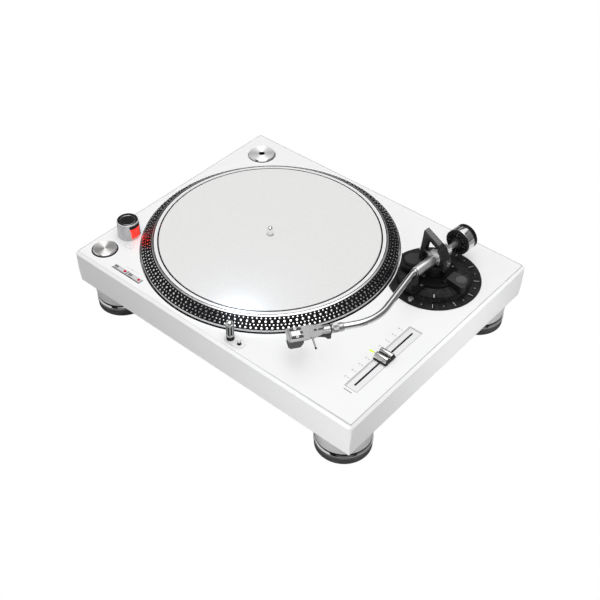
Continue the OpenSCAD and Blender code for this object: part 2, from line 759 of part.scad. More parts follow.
module arm_mount() color("#222222") at_arm() difference() {
    union() {
        translate([0, 0, 2 - guide_depth]) cylinder(r = column_r, h = guide_depth - 2 + mount_z);
        translate([0, 0, mount_z]) linear_extrude(mount_t) mount_plan();
        translate([0, 0, mount_z]) cylinder(r = mount_boss_r, h = boss_top - mount_z);
        at_lifter(mount_z) cylinder(r = lift_pin_r + 2, h = boss_top - mount_z);
        translate([drum_at[0], drum_at[1], mount_z]) cylinder(r = drum_r, h = drum_top - mount_z);
        cue_ear(cue_y[0] - gap - ear_t);
        cue_ear(cue_y[1] + gap);
    }
    translate([0, 0, yaw_z - gap]) cylinder(r = shaft_r + run, h = plinth_h);
    translate([cue_x - cue_root_r - 1.2, cue_y[0] - gap, mount_z])
        cube([40, cue_y[1] - cue_y[0] + 2 * gap, 20]);
    translate([cue_x, 0, cue_z]) along_y(cue_y[0] - gap - ear_t - 1)
        cylinder(r = pin_r + run, h = cue_y[1] - cue_y[0] + 2 * (gap + ear_t + 1));
    translate([drum_at[0], drum_at[1], drum_top - 6]) cylinder(r = skate_axle_r + run, h = 10);
    at_lifter(mount_z - 1) cylinder(r = lift_pin_r + run, h = 20);
}

module arm_rest() color("#222222") at_arm() translate([0, (rest_y[0] + rest_y[1]) / 2, 0]) front_view()
    linear_extrude(rest_y[1] - rest_y[0], center = true) polygon([
        [-3.5, flange_top], [3.5, flange_top], [4.5, rest_z - 8], [rest_horn + 3, rest_z - 4],
        [rest_horn + 3, arm_z + 1], [rest_horn + 2, arm_z + 2], [rest_horn + 1, arm_z + 2],
        [rest_horn, arm_z + 1], [rest_horn, rest_z + 2], [rest_horn - 2, rest_z], [-6, rest_z],
        [-6, rest_z - 2.5], [-4.5, rest_z - 8]
    ]);

module antiskate_dial() color("#3a3a3a") at_arm() translate([drum_at[0], drum_at[1], drum_top + gap]) {
    linear_extrude(skate_t - 0.8) polygon(ribbed(skate_r, 0.5, 30));
    cylinder(r = skate_r - 1, h = skate_t);
    translate([0, 0, -5.5]) cylinder(r = skate_axle_r, h = 6);
}

module cue_lever() color("#333333") at_arm() {
    translate([cue_x, 0, cue_z]) along_y(cue_y[0]) cylinder(r = cue_root_r, h = cue_y[1] - cue_y[0]);
    translate([cue_x, 0, cue_z]) along_y(cue_y[0] - ear_t)
        cylinder(r = pin_r, h = cue_y[1] - cue_y[0] + 2 * ear_t);
    translate([0, 0, mount_z + 0.5]) difference() {
        linear_extrude(lever_h) polygon(concat(
            [[cue_x, cue_y[1] - 1], [cue_x, cue_y[0] + 1]],
            arc(lever_tip, lever_tip_r, -90, 15, 6), arc(pad_at, pad_r + 1.6, 15, 90, 6)
        ));
        translate([pad_at[0], pad_at[1], lever_h - pad_dip]) cylinder(r = pad_r, h = lever_h);
    }
}

module cue_lifter() color("#2a2a2a") at_arm() {
    translate([0, 0, lift_top - lift_bar]) rotate([0, 0, lift_angle - 22]) rotate_extrude(angle = 48)
        translate([lift_r - lift_bar / 2, 0]) square(lift_bar);
    at_lifter(mount_z + gap) cylinder(r = lift_pin_r, h = lift_top - 1 - mount_z - gap);
}

module lock_knob() color("silver") at_arm() translate([knob_at[0], knob_at[1], scale_t + gap]) {
    cylinder(r = 3.6, h = 3.4);
    cylinder(r = 2.6, h = 4.6);
}

// Tonearm
module arm_yoke() color("#1a1a1a") at_arm() {
    bend = leg_t + 2;
    side = [cos(yoke_lean), sin(yoke_lean)];
    crown = [sin(yoke_slope), cos(yoke_slope)];
    knee_z = arm_z + 5;
    a = [leg_out, knee_z] * side - bend;
    b = [-yoke_crown, yoke_top] * crown - bend;
    c = [a * crown[1] - b * side[1], b * side[0] - a * crown[0]] / sin(90 - yoke_slope - yoke_lean);
    inner_x = leg_t - yoke_crown;
    inner = bend - leg_t;
    difference() {
        union() {
            front_view() linear_extrude(yoke_t, center = true) difference() {
                polygon(concat(
                    [[-yoke_crown, yoke_top], [-yoke_foot, bar_z], [leg_out, bar_z], [leg_out, knee_z]],
                    arc(c, bend, yoke_lean, 90 - yoke_slope, 6)
                ));
                polygon(concat(
                    [[inner_x, (b + inner - inner_x * crown[0]) / crown[1]]],
                    [[leg_t - yoke_foot, bar_z + bar_t], [leg_in, bar_z + bar_t]],
                    [[leg_in, (a + inner - leg_in * side[0]) / side[1]]],
                    arc(c, inner, yoke_lean, 90 - yoke_slope, 4)
                ));
            }
            translate([0, 0, arm_z]) along_x(leg_in - gap) cylinder(r = yoke_boss_r, h = leg_t + 3 * gap);
            translate([0, 0, boss_top + gap]) cylinder(r = yoke_hub_r, h = bar_z + bar_t - boss_top - gap);
            translate([0, 0, yaw_z]) cylinder(r = shaft_r, h = boss_top - yaw_z + 1);
        }
        translate([0, 0, arm_z]) along_x(-60) cylinder(r = pin_r + run, h = 120);
    }
}

module pivot_screws() color("silver") at_pivot() {
    tip = block_w / 2 - pin_seat + gap;
    head = leg_out + 2 * gap;
    nut = left_face + 0.35;
    along_x(tip) cylinder(r = pin_r, h = head + 1.2 - tip);
    along_x(head) cylinder(r = 3, h = 1.2);
    along_x(-nut - 2) cylinder(r = pin_r, h = nut + 2 - tip);
    along_x(-nut - 1.6) cylinder(r = 3, h = 1.6);
}

module arm_sleeve() color("gray") at_pivot() difference() {
    union() {
        translate([-block_w / 2, -block_d / 2, -block_h / 2]) cube([block_w, block_d, block_h]);
        along_y(4 - sleeve_len) cylinder(r = sleeve_r, h = sleeve_len - 4);
        along_y(-sleeve_len) cylinder(r = sleeve_r - 0.8, h = 5);
        along_y() linear_extrude(rear_len) square(rear_w, center = true);
        along_y() cylinder(r = stub_r + 1, h = rear_len + 1.5);
        along_y() cylinder(r = stub_r, h = core_y + core_len);
    }
    along_y(-sleeve_len - 1) cylinder(r = tube_r + run, h = socket_len + 1 + gap);
    for (s = [-1, 1]) along_x(s * block_w / 2) cylinder(r = pin_r + run, h = 2 * pin_seat, center = true);
}

module tube_runs(r, lap = 0, more = 0) {
    along_y(-sleeve_len - lap) cylinder(r = r, h = socket_len + lap + more);
    translate([s1_x, s1_y, 0]) rotate([0, 0, bend_out]) along_y(-lap) cylinder(r = r, h = tube_run + 2 * lap);
    translate([tail_x, tail_y, 0]) rotate([0, 0, -head_angle]) along_y(-tube_tail - more)
        cylinder(r = r, h = tube_tail + lap + more);
}

module tube_bends(r) {
    translate([bend_out_r, -sleeve_len, 0]) rotate([0, 0, 180]) rotate_extrude(angle = bend_out)
        translate([bend_out_r, 0]) circle(r = r);
    translate([s1_x - bend_in_r * cos(bend_out), s1_y - bend_in_r * sin(bend_out), 0])
        rotate([0, 0, -head_angle]) rotate_extrude(angle = head_angle + bend_out)
            translate([bend_in_r, 0]) circle(r = r);
}

module arm_tube() color("gainsboro") at_pivot() difference() {
    union() {
        tube_runs(tube_r);
        tube_bends(tube_r);
        tube_runs(tube_r - tube_wall / 2, 0.5);
    }
    tube_runs(tube_r - tube_wall, 0, 1);
    tube_bends(tube_r - tube_wall);
}

module locking_collar() color("silver") at_head() along_y(-tube_tail) rotate_extrude() polygon([
    [tube_r + run, 0], [collar_r - 0.6, 0], [collar_r, 0.8], [collar_r, collar_len - 3],
    [collar_r - 0.6, collar_len], [tube_r + run, collar_len]
]);

module headshell() color("silver") at_head() {
    half = shell_w / 2;
    neck = shell_neck_r;
    difference() {
        union() {
            along_y(shell_y) cylinder(r = tube_r - tube_wall - run, h = 8);
            along_y(shell_y - 9) cylinder(r = neck, h = 9);
            translate([0, 0, shell_low]) linear_extrude(shell_t) polygon(concat(
                [[neck, shell_y], [-neck, shell_y], [-neck, shell_y - 9], [-half, shell_y - 21]],
                arc([3 - half, shell_end + 3], 3, 180, 270, 6),
                arc([half - 3, shell_end + 3], 3, 270, 360, 6),
                [[half, shell_y - 21], [neck, shell_y - 9]]
            ));
            side_view() linear_extrude(2 * neck - 1, center = true) polygon([
                [shell_y, 0], [shell_y, -neck], [shell_y - 8, -neck - 0.5], [shell_y - 13, -4],
                [shell_y - 20, shell_low], [shell_y - 20, 0]
            ]);
        }
        for (s = [-1, 1]) translate([s * cart_pitch / 2, slot_y, -8]) linear_extrude(16) slot_plan(2.8, 13);
        for (y = [17, 33]) translate([0, shell_end + y, -8]) cylinder(r = 1.6, h = 16);
        translate([0, shell_end + 40, 0]) linear_extrude(16) slot_plan(2.4, 6);
    }
}

module finger_lift() color("silver") at_head()
    translate([shell_w / 2 + 0.1, shell_end + 27, shell_low + shell_t / 2])
        rotate([0, 96, 0]) rotate_extrude() polygon(concat(
            [[0, 0], [finger_r, 0], [finger_r - 0.1, finger_len - 1.2]],
            arc([0, finger_len], finger_ball_r, -52, 80, 8), [[0, finger_len + finger_ball_r]]
        ));

module cartridge() color("#202020") at_head() {
    low = shell_low - cart_body_h;
    side_view() linear_extrude(cart_w, center = true) polygon([
        [cart_front, shell_low], [cart_front, shell_low - 8], [cart_front + 1.5, low],
        [cart_front + cart_len - 4, low], [cart_front + cart_len, shell_low - 7],
        [cart_front + cart_len, shell_low]
    ]);
    for (s = [-1, 1]) translate([s * cart_pitch / 2, slot_y, shell_low]) {
        translate([0, 0, -1]) cylinder(r = 1.2, h = shell_t + 2);
        translate([0, 0, shell_t]) cylinder(r = 2.3, h = 1.4);
    }
}

module stylus() color("gray") at_head() {
    low = shell_low - cart_body_h;
    tip_z = shell_low - cart_h;
    tip_y = cart_front + 4;
    side_view() linear_extrude(cart_w - 5, center = true) polygon([
        [cart_front + 1.5, low], [cart_front + 2, low - 1.6], [cart_front + 6, low - 2.2],
        [cart_front + 11, low - 1.2], [cart_front + 11, low]
    ]);
    translate([0, tip_y, tip_z]) cylinder(r1 = 0.15, r2 = 0.5, h = 1.4);
    translate([0, tip_y, tip_z + 1.3]) cylinder(r = 0.5, h = cart_h - cart_body_h - 1.3);
}

module weight_core() color("silver") at_pivot() along_y(core_y) ring(core_r, stub_r + run, core_len);

module counterweight() color("#181818") at_pivot() along_y(weight_y + dial_t + gap) difference() {
    rotate_extrude() polygon([
        [core_r + run, 0], [weight_r, 0], [weight_r, weight_len - 1.2], [weight_r - 1.2, weight_len],
        [core_r + run, weight_len]
    ]);
    translate([0, 0, weight_len - weight_hollow]) ring(weight_r - 2.5, core_r + 1.5, weight_hollow + 1);
}

module force_dial() color("#111111") at_pivot() along_y(weight_y) rotate_extrude() polygon([
    [core_r + run, 0], [weight_r - 1.5, 0], [weight_r, 1], [weight_r, dial_t], [core_r + run, dial_t]
]);

// Controls
module start_button() color("silver") on_deck(start_x, start_y) {
    rotate_extrude() polygon([
        [0, stem_z], [3, stem_z], [3, -deck - gap - 1.5], [start_r + 1.5, -deck - gap - 1.5],
        [start_r + 1.5, -deck - gap], [start_r, -deck - gap], [start_r, control_rise - 0.8],
        [start_r - 0.8, control_rise], [0, control_rise]
    ]);
}

module speed_button(x) color("lightgray") on_deck(x, speed_y) {
    translate([0, 0, -deck - gap - 1.5]) slab(speed_w, speed_d, deck + gap + 1.5 + control_rise / 2);
    translate([0, 0, -deck - gap - 1.5]) slab(speed_w + 1.6, speed_d + 1.6, 1.5);
    translate([0, 0, stem_z]) slab(4, 3, -stem_z - deck);
}

module speed_button_33() speed_button(speed_x);

module speed_button_45() speed_button(speed_x + speed_pitch);

module power_dial() color("#181818") on_deck(tower_x, tower_y) rotate_extrude() polygon([
    [0, tower_h - dial_well - 4.7], [2, tower_h - dial_well - 4.7], [2, tower_h - dial_well + gap],
    [tower_r - tower_lip - gap, tower_h - dial_well + gap], [tower_r - tower_lip - gap, tower_h - 1],
    [tower_r - tower_lip - 0.7, tower_h - 0.6], [tower_r - 5, tower_h - 0.6], [tower_r - 5.4, tower_h - 1],
    [0, tower_h - 1]
]);

module target_lamp() color("silver") on_deck(lamp_x, lamp_y) {
    dome_r = lamp_r - 0.3;
    dome_z = lamp_h - dome_r;
    translate([0, 0, -lamp_tail]) cylinder(r = lamp_r, h = lamp_tail + 4);
    translate([0, 0, 3]) linear_extrude(dome_z - 3.5) polygon(ribbed(lamp_r - 0.1, 0.4, 20));
    rotate_extrude() polygon(concat(
        [[0, dome_z - 2], [dome_r, dome_z - 2]], arc([0, dome_z], dome_r, 0, 80, 8), [[0, lamp_h]]
    ));
}

module lamp_button() color("silver") on_deck(lamp_x + lamp_pitch, lamp_y, press - deck - 1.5 + gap) {
    cylinder(r = lamp_button_r, h = deck + 1.5 - gap - press + control_rise);
    cylinder(r = lamp_button_r - 0.5, h = deck + 1.5 - gap - press + control_rise + 0.4);
}

module fader_knob() color("silver") on_deck(fader_x, fader_y, gap) {
    base_d = 19;
    translate([0, 0, -gap - deck - track_groove + gap])
        slab(fader_stem[0], fader_stem[1], deck + track_groove + 1);
    slab(fader_w, base_d, 2.5);
    side_view() linear_extrude(fader_w - 1, center = true) polygon([
        [-base_d / 2 + 1, 2.4], [base_d / 2 - 1, 2.4], [base_d / 2 - 2.5, 8], [1.6, 8], [0.9, 5],
        [-0.9, 5], [-1.6, 8], [2.5 - base_d / 2, 8]
    ]);
}

module adapter_45() color("silver") on_deck(adapter_x, adapter_y, control_rise - adapter_h)
    rotate_extrude() polygon([
        [spindle_r + 0.1, 0], [adapter_r - 0.6, 0], [adapter_r, 0.6], [adapter_r, adapter_h - 1.4],
        [adapter_r - 1.4, adapter_h], [spindle_r + 3.5, adapter_h], [spindle_r + 0.1, adapter_h - 1.5]
    ]);

module output_switch() color("#e0e0e0") translate([jack_x + switch_at, 0, tray_z]) along_y(tray_y - gap) {
    translate([0, 0, -1.2]) linear_extrude(1.2) square([11.5, 5.5], center = true);
    translate([0, 0, -1.2])
        linear_extrude(1.2 + gap + tray_t + 3) square([3.4, switch_slot[1] - 2 * gap], center = true);
}

plinth_shell();
bottom_cover();
cover_screws();
motor_stator();
bearing_housing();
main_board();
power_supply();
power_inlet();
jack_panel();
phono_jacks();
strobe_tower();
strobe_window();
strobe_lamp();
fader_plate();
fader_track();
pitch_lamp();
key_board();
lamp_plate();
arm_base_plate();
foot_cup_front_left();
foot_cup_front_right();
foot_cup_rear_left();
foot_cup_rear_right();
foot_pad_front_left();
foot_pad_front_right();
foot_pad_rear_left();
foot_pad_rear_right();
platter();
rotor_magnet();
spindle();
slipmat();
height_ring();
arm_mount();
arm_rest();
antiskate_dial();
cue_lever();
cue_lifter();
lock_knob();
arm_yoke();
pivot_screws();
arm_sleeve();
arm_tube();
headshell();
finger_lift();
cartridge();
stylus();
weight_core();
counterweight();
force_dial();
locking_collar();
start_button();
speed_button_33();
speed_button_45();
power_dial();
target_lamp();
lamp_button();
fader_knob();
adapter_45();
output_switch();
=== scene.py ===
import json
import math
import random

import bmesh
import bpy
from mathutils import Matrix, Vector


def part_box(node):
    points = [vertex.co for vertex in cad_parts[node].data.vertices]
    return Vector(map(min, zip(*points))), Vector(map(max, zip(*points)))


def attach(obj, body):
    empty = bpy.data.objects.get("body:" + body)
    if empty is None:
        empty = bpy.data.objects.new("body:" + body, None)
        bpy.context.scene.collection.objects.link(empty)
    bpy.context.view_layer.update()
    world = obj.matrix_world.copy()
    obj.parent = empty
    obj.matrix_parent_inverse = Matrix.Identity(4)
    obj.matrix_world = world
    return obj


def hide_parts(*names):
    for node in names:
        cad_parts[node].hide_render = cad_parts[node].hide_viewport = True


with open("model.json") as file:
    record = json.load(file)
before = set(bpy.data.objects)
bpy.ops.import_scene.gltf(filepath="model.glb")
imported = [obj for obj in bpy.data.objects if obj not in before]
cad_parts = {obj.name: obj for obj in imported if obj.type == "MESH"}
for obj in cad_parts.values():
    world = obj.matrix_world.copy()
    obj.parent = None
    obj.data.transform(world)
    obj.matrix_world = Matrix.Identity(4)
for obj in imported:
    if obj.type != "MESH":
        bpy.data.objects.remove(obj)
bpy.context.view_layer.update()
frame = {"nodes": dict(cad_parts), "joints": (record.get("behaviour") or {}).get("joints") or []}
nodes = frame["nodes"]
joints = {joint["name"]: joint for joint in frame["joints"]}
mm = 0.001
up = Vector((0, 0, 1))
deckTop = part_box("plinth_shell")[1].z
print("frame loaded:", len(nodes), "nodes")


# Places that the frame gives: sizes in millimetres, matrices in metres
def middle(node):
    low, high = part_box(node)
    return (low + high) / 2


def span(node, axis):
    low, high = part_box(node)
    return (high[axis] - low[axis]) / mm


def heights(node):
    low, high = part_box(node)
    return (low.z - deckTop) / mm, (high.z - deckTop) / mm


def shift(x=0.0, y=0.0, z=0.0):
    return Matrix.Translation((x * mm, y * mm, z * mm))


def onDeck(where, turn=0.0):
    spot = middle(where) if isinstance(where, str) else where
    return Matrix.Translation((spot.x, spot.y, deckTop)) @ Matrix.Rotation(turn, 4, "Z")


def onAxis(origin, xAxis, yAxis, zAxis):
    place = Matrix((xAxis, yAxis, zAxis)).transposed().to_4x4()
    place.translation = origin
    return place


pivot = Vector(joints["arm_pitch"]["pos_m"])
armSide = Vector(joints["arm_pitch"]["axis"])
if armSide.x < 0:
    armSide = -armSide
armRear = up.cross(armSide)
headRoot = Vector(joints["collar_turn"]["pos_m"])
headRear = Vector(joints["collar_turn"]["axis"])
headSide = headRear.cross(up)
armPlace = onAxis(pivot, armSide, armRear, up)
armDeck = onAxis(Vector((pivot.x, pivot.y, deckTop)), armSide, armRear, up)
armAxle = onAxis(pivot, armSide, -up, armRear)  # z runs to the rear along the arm
headPlace = onAxis(headRoot, headSide, headRear, up)
headAxle = onAxis(headRoot, headSide, -up, headRear)
alongX = Matrix(((0, 0, 1, 0), (1, 0, 0, 0), (0, 1, 0, 0), (0, 0, 0, 1)))  # draws an outline (y, z) along x
alongY = Matrix(((1, 0, 0, 0), (0, 0, 1, 0), (0, 1, 0, 0), (0, 0, 0, 1)))  # draws an outline (x, z) along y


# Every piece rides on a body, takes its finishes, and may stand for a node
def addPiece(name, bm, body, looks, place, stands=None, sharp=32):
    bmesh.ops.recalc_face_normals(bm, faces=bm.faces)
    mesh = bpy.data.meshes.new(name)
    bm.to_mesh(mesh)
    bm.free()
    mesh.shade_smooth()
    mesh.set_sharp_from_angle(angle=math.radians(sharp))
    for look in looks.split():
        mesh.materials.append(finishes[look])
    piece = bpy.data.objects.new(name, mesh)
    bpy.context.scene.collection.objects.link(piece)
    piece.matrix_world = place
    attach(piece, body)
    if stands:
        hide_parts(stands)
    return piece


# Mesh helpers, all sizes in millimetres
def rounded(points, radius, parts=3):
    points = [point if len(point) > 2 else (*point, 0) for point in points]
    made = [points[0]]
    for before, here, after in zip(points, points[1:], points[2:]):
        corner = Vector(here[:2])
        back = Vector(before[:2]) - corner
        ahead = Vector(after[:2]) - corner
        start = corner + back.normalized() * min(radius, 0.45 * back.length)
        end = corner + ahead.normalized() * min(radius, 0.45 * ahead.length)
        for part in range(parts + 1):
            t = part / parts
            spot = start * (1 - t) ** 2 + corner * 2 * t * (1 - t) + end * t ** 2
            made.append((spot.x, spot.y, here[2]))
    made.append(points[-1])
    return made


def turned(name, profile, body, looks, place, stands=None, steps=128, soft=0.0, flutes=None, sharp=32):
    # rows are (radius, height) or (radius, height, look); the look is that of the strip which follows
    if soft:
        profile = rounded(profile, soft)
    bm = bmesh.new()
    rings = []
    marks = []
    for radius, height, *mark in profile:
        marks.append(mark[0] if mark else 0)
        if radius < 0.001:
            rings.append([bm.verts.new((0, 0, height * mm))])
            continue
        ring = []
        for step in range(steps):
            turn = 2 * math.pi * step / steps
            reach = radius
            if flutes and flutes["low"] <= height <= flutes["high"] and radius > flutes["inside"]:
                reach -= flutes["depth"] * (0.5 - 0.5 * math.cos(flutes["count"] * turn))
            ring.append(bm.verts.new((reach * math.cos(turn) * mm, reach * math.sin(turn) * mm, height * mm)))
        rings.append(ring)
    strips = list(zip(rings, rings[1:], marks))
    if len(rings[0]) > 1 and len(rings[-1]) > 1:
        strips.append((rings[-1], rings[0], marks[-1]))
    for low, high, mark in strips:
        for step in range(steps):
            nextStep = (step + 1) % steps
            corners = [low[step % len(low)], low[nextStep % len(low)]]
            corners += [high[nextStep % len(high)], high[step % len(high)]]
            corners = list(dict.fromkeys(corners))
            if len(corners) > 2:
                bm.faces.new(corners).material_index = mark
    return addPiece(name, bm, body, looks, place, stands, sharp)


def skin(bm, rings, mark=0, top=True):
    faces = [bm.faces.new(list(reversed(rings[0])))]
    if top:
        faces.append(bm.faces.new(rings[-1]))
    for low, high in zip(rings, rings[1:]):
        for i in range(len(low)):
            faces.append(bm.faces.new((low[i - 1], low[i], high[i], high[i - 1])))
    for face in faces:
        face.material_index = mark


def addRing(bm, centre, side, across, radius, steps):
    ring = []
    for step in range(steps):
        turn = 2 * math.pi * step / steps
        ring.append(bm.verts.new((centre + (side * math.cos(turn) + across * math.sin(turn)) * radius) * mm))
    return ring


def addPrism(bm, outline, low, high, place=Matrix(), mark=0, top=None):
    rings = []
    for edge, height in ((outline, low), (top or outline, high)):
        rings.append([bm.verts.new(place @ Vector((x * mm, y * mm, height * mm))) for x, y in edge])
    skin(bm, rings, mark)


def addTube(bm, path, radius, sides):
    spots = [Vector(spot) for spot in path]
    along = [(b - a).normalized() for a, b in zip(spots, spots[1:])]
    along = [along[0]] + [(a + b).normalized() for a, b in zip(along, along[1:])] + [along[-1]]
    side = along[0].orthogonal().normalized()
    rings = []
    for i, spot in enumerate(spots):
        if i:
            side = along[i - 1].rotation_difference(along[i]) @ side
        rings.append(addRing(bm, spot, side, along[i].cross(side).normalized(), radius, sides))
    skin(bm, rings)


def softenEdges(bm, width, segments=2, angle=35):
    bmesh.ops.recalc_face_normals(bm, faces=bm.faces)
    sharpEdges = []
    for edge in bm.edges:
        if len(edge.link_faces) == 2 and edge.calc_face_angle(0) > math.radians(angle):
            sharpEdges.append(edge)
    bmesh.ops.bevel(bm, geom=sharpEdges, offset=width * mm, segments=segments, profile=0.5,
                    affect="EDGES", clamp_overlap=True)


def bar(x, y, width, depth, turn=0.0):
    c, s = math.cos(turn), math.sin(turn)
    u, v = width / 2, depth / 2
    return [(x + c * a - s * b, y + s * a + c * b) for a, b in ((-u, -v), (u, -v), (u, v), (-u, v))]


def disc(x, y, radius, steps=20):
    turns = [2 * math.pi * step / steps for step in range(steps)]
    return [(x + radius * math.cos(turn), y + radius * math.sin(turn)) for turn in turns]


def roundedBar(x, y, width, depth, corner, parts=5):
    made = []
    for sx, sy, start in ((1, 1, 0), (-1, 1, 90), (-1, -1, 180), (1, -1, 270)):
        for part in range(parts + 1):
            turn = math.radians(start + 90 * part / parts)
            made.append((x + sx * (width / 2 - corner) + corner * math.cos(turn),
                         y + sy * (depth / 2 - corner) + corner * math.sin(turn)))
    return made


def screwHead(bm, x, y, z, radius, turn, place=Matrix()):
    spot = place @ shift(x, y, z) @ Matrix.Rotation(turn, 4, "Z")
    side, across, lift = [spot.col[i].xyz for i in range(3)]
    rings = []
    for share, height in ((1.0, -0.3), (1.0, 0.45), (0.86, 0.7)):
        rings.append(addRing(bm, spot.translation / mm + lift * height, side, across, radius * share, 20))
    skin(bm, rings)
    # The slots are black bars laid on the head: painted shade in the slots
    for slotTurn in (0, math.pi / 2):
        addPrism(bm, bar(0, 0, radius * 1.25, radius * 0.24, slotTurn), 0.6, 0.74, spot, 1)


def printed(name, outlines, body, look, place, height=0.05, sink=0.03):
    bm = bmesh.new()
    for outline in outlines:
        addPrism(bm, outline, -sink, height)
    addPiece(name, bm, body, look, place)


def numerals(name, rows, body, look, place, height=0.05):
    # rows are (text, x, y, size, turn); only plain numbers
    bm = bmesh.new()
    for text, x, y, size, turn in rows:
        curve = bpy.data.curves.new(name, "FONT")
        curve.body = text
        curve.size = size * mm
        curve.extrude = height * mm
        curve.align_x = "CENTER"
        curve.align_y = "CENTER"
        holder = bpy.data.objects.new(name, curve)
        bpy.context.scene.collection.objects.link(holder)
        bpy.context.view_layer.update()
        flat = bpy.data.meshes.new_from_object(holder.evaluated_get(bpy.context.evaluated_depsgraph_get()))
        flat.transform(shift(x, y) @ Matrix.Rotation(turn, 4, "Z"))
        bm.from_mesh(flat)
        bpy.data.objects.remove(holder)
        bpy.data.meshes.remove(flat)
        bpy.data.curves.remove(curve)
    bmesh.ops.remove_doubles(bm, verts=bm.verts, dist=0.0005 * mm)
    addPiece(name, bm, body, look, place)


# Shader helpers: a value that is a socket is linked, any other is set
def newNode(tree, kind, values=None, **settings):
    node = tree.nodes.new("ShaderNode" + kind)
    for key, value in settings.items():
        setattr(node, key, value)
    for key, value in (values or {}).items():
        if isinstance(value, bpy.types.NodeSocket):
            tree.links.new(value, node.inputs[key])
        else:
            node.inputs[key].default_value = value
    return node


def tint(colour):
    if isinstance(colour, bpy.types.NodeSocket):
        return colour
    return (*colour, 1) if isinstance(colour, tuple) else (colour, colour, colour, 1)


def mixColours(tree, factor, first, second):
    return newNode(tree, "Mix", {0: factor, 6: tint(first), 7: tint(second)}, data_type="RGBA").outputs[2]


def remap(tree, value, fromLow, fromHigh, toLow, toHigh):
    return newNode(tree, "MapRange", {"Value": value, "From Min": fromLow, "From Max": fromHigh,
                                      "To Min": toLow,
                                      "To Max": toHigh}).outputs["Result"]


def reckon(tree, operation, *values):
    return newNode(tree, "Math", dict(enumerate(values)), operation=operation).outputs[0]


def noiseOf(tree, spot, scale, detail=4.0, roughness=0.55):
    return newNode(tree, "TexNoise", {"Vector": spot, "Scale": scale, "Detail": detail,
                                      "Roughness": roughness}).outputs["Fac"]


def newGroup(name, inputs, build):
    tree = bpy.data.node_groups.new(name, "ShaderNodeTree")
    for label, value in inputs.items():
        socket = tree.interface.new_socket(name=label, in_out="INPUT", socket_type="NodeSocketFloat")
        socket.default_value = value
    spot = newNode(tree, "TexCoord").outputs["Object"]
    results = build(tree, tree.nodes.new("NodeGroupInput").outputs, spot)
    for label in results:
        tree.interface.new_socket(name=label, in_out="OUTPUT", socket_type="NodeSocketFloat")
    end = tree.nodes.new("NodeGroupOutput")
    for label, value in results.items():
        tree.links.new(value, end.inputs[label])
    return tree


# Grain: a broad mottle and a fine texture in the piece's own coordinates
def grainNodes(tree, given, spot):
    fine = noiseOf(tree, spot, given["Scale"])
    broad = noiseOf(tree, spot, given["Mottle"], 3.0)
    return {"Tone": reckon(tree, "MULTIPLY_ADD", broad, 0.6, reckon(tree, "MULTIPLY", fine, 0.4)),
            "Fine": fine}


# Rub: where raised edges have been touched
def rubNodes(tree, given, spot):
    point = newNode(tree, "NewGeometry").outputs["Pointiness"]
    raised = remap(tree, point, given["Start"], given["Full"], 0.0, 1.0)
    patch = remap(tree, noiseOf(tree, spot, 220.0), 0.35, 0.65, 0.25, 1.0)
    return {"Mask": reckon(tree, "MULTIPLY", raised, patch)}


# Turning marks: rings round the piece's own z axis
def spunNodes(tree, given, spot):
    x, y, z = newNode(tree, "SeparateXYZ", {0: spot}).outputs
    squares = reckon(tree, "ADD", reckon(tree, "MULTIPLY", x, x), reckon(tree, "MULTIPLY", y, y))
    along = newNode(tree, "CombineXYZ", {"X": reckon(tree, "SQRT", squares), "Y": z}).outputs[0]
    noise = noiseOf(tree, along, given["Fineness"], 3.0, 0.7)
    return {"Tone": noise, "Ridge": noise}


# Brush lines: long scratches along the piece's y axis
def brushNodes(tree, given, spot):
    stretch = newNode(tree, "Mapping", {"Vector": spot, "Scale": (1.0, 0.012, 1.0)}).outputs[0]
    noise = noiseOf(tree, stretch, given["Fineness"], 3.0, 0.65)
    return {"Tone": noise, "Ridge": noise}


# Felt: short fibres in two crossing directions, with a soft pile
def feltNodes(tree, given, spot):
    layers = []
    for turn in (0.4, 2.1):
        fibres = newNode(tree, "Mapping", {"Vector": spot, "Rotation": (0, 0, turn),
                                           "Scale": (1.0, 0.22, 1.0)})
        layers.append(noiseOf(tree, fibres.outputs[0], given["Fineness"], 4.0, 0.7))
    pile = reckon(tree, "MAXIMUM", *layers)
    return {"Tone": pile, "Pile": pile}


grainGroup = newGroup("surfaceGrain", {"Scale": 1500.0, "Mottle": 40.0}, grainNodes)
rubGroup = newGroup("edgeRub", {"Start": 0.52, "Full": 0.62}, rubNodes)
lineGroups = {"spun": newGroup("turningMarks", {"Fineness": 2500.0}, spunNodes),
              "brushed": newGroup("brushLines", {"Fineness": 2500.0}, brushNodes),
              "felt": newGroup("feltFibres", {"Fineness": 900.0}, feltNodes)}
fixedSockets = {"metallic": "Metallic", "specular": "Specular IOR Level", "coat": "Coat Weight",
                "coatRough": "Coat Roughness", "sheen": "Sheen Weight", "sheenRough": "Sheen Roughness",
                "streak": "Anisotropic", "streakTurn": "Anisotropic Rotation", "power": "Emission Strength"}
toneLow, toneHigh = 0.36, 0.64  # the part of the noise that is spread over a finish


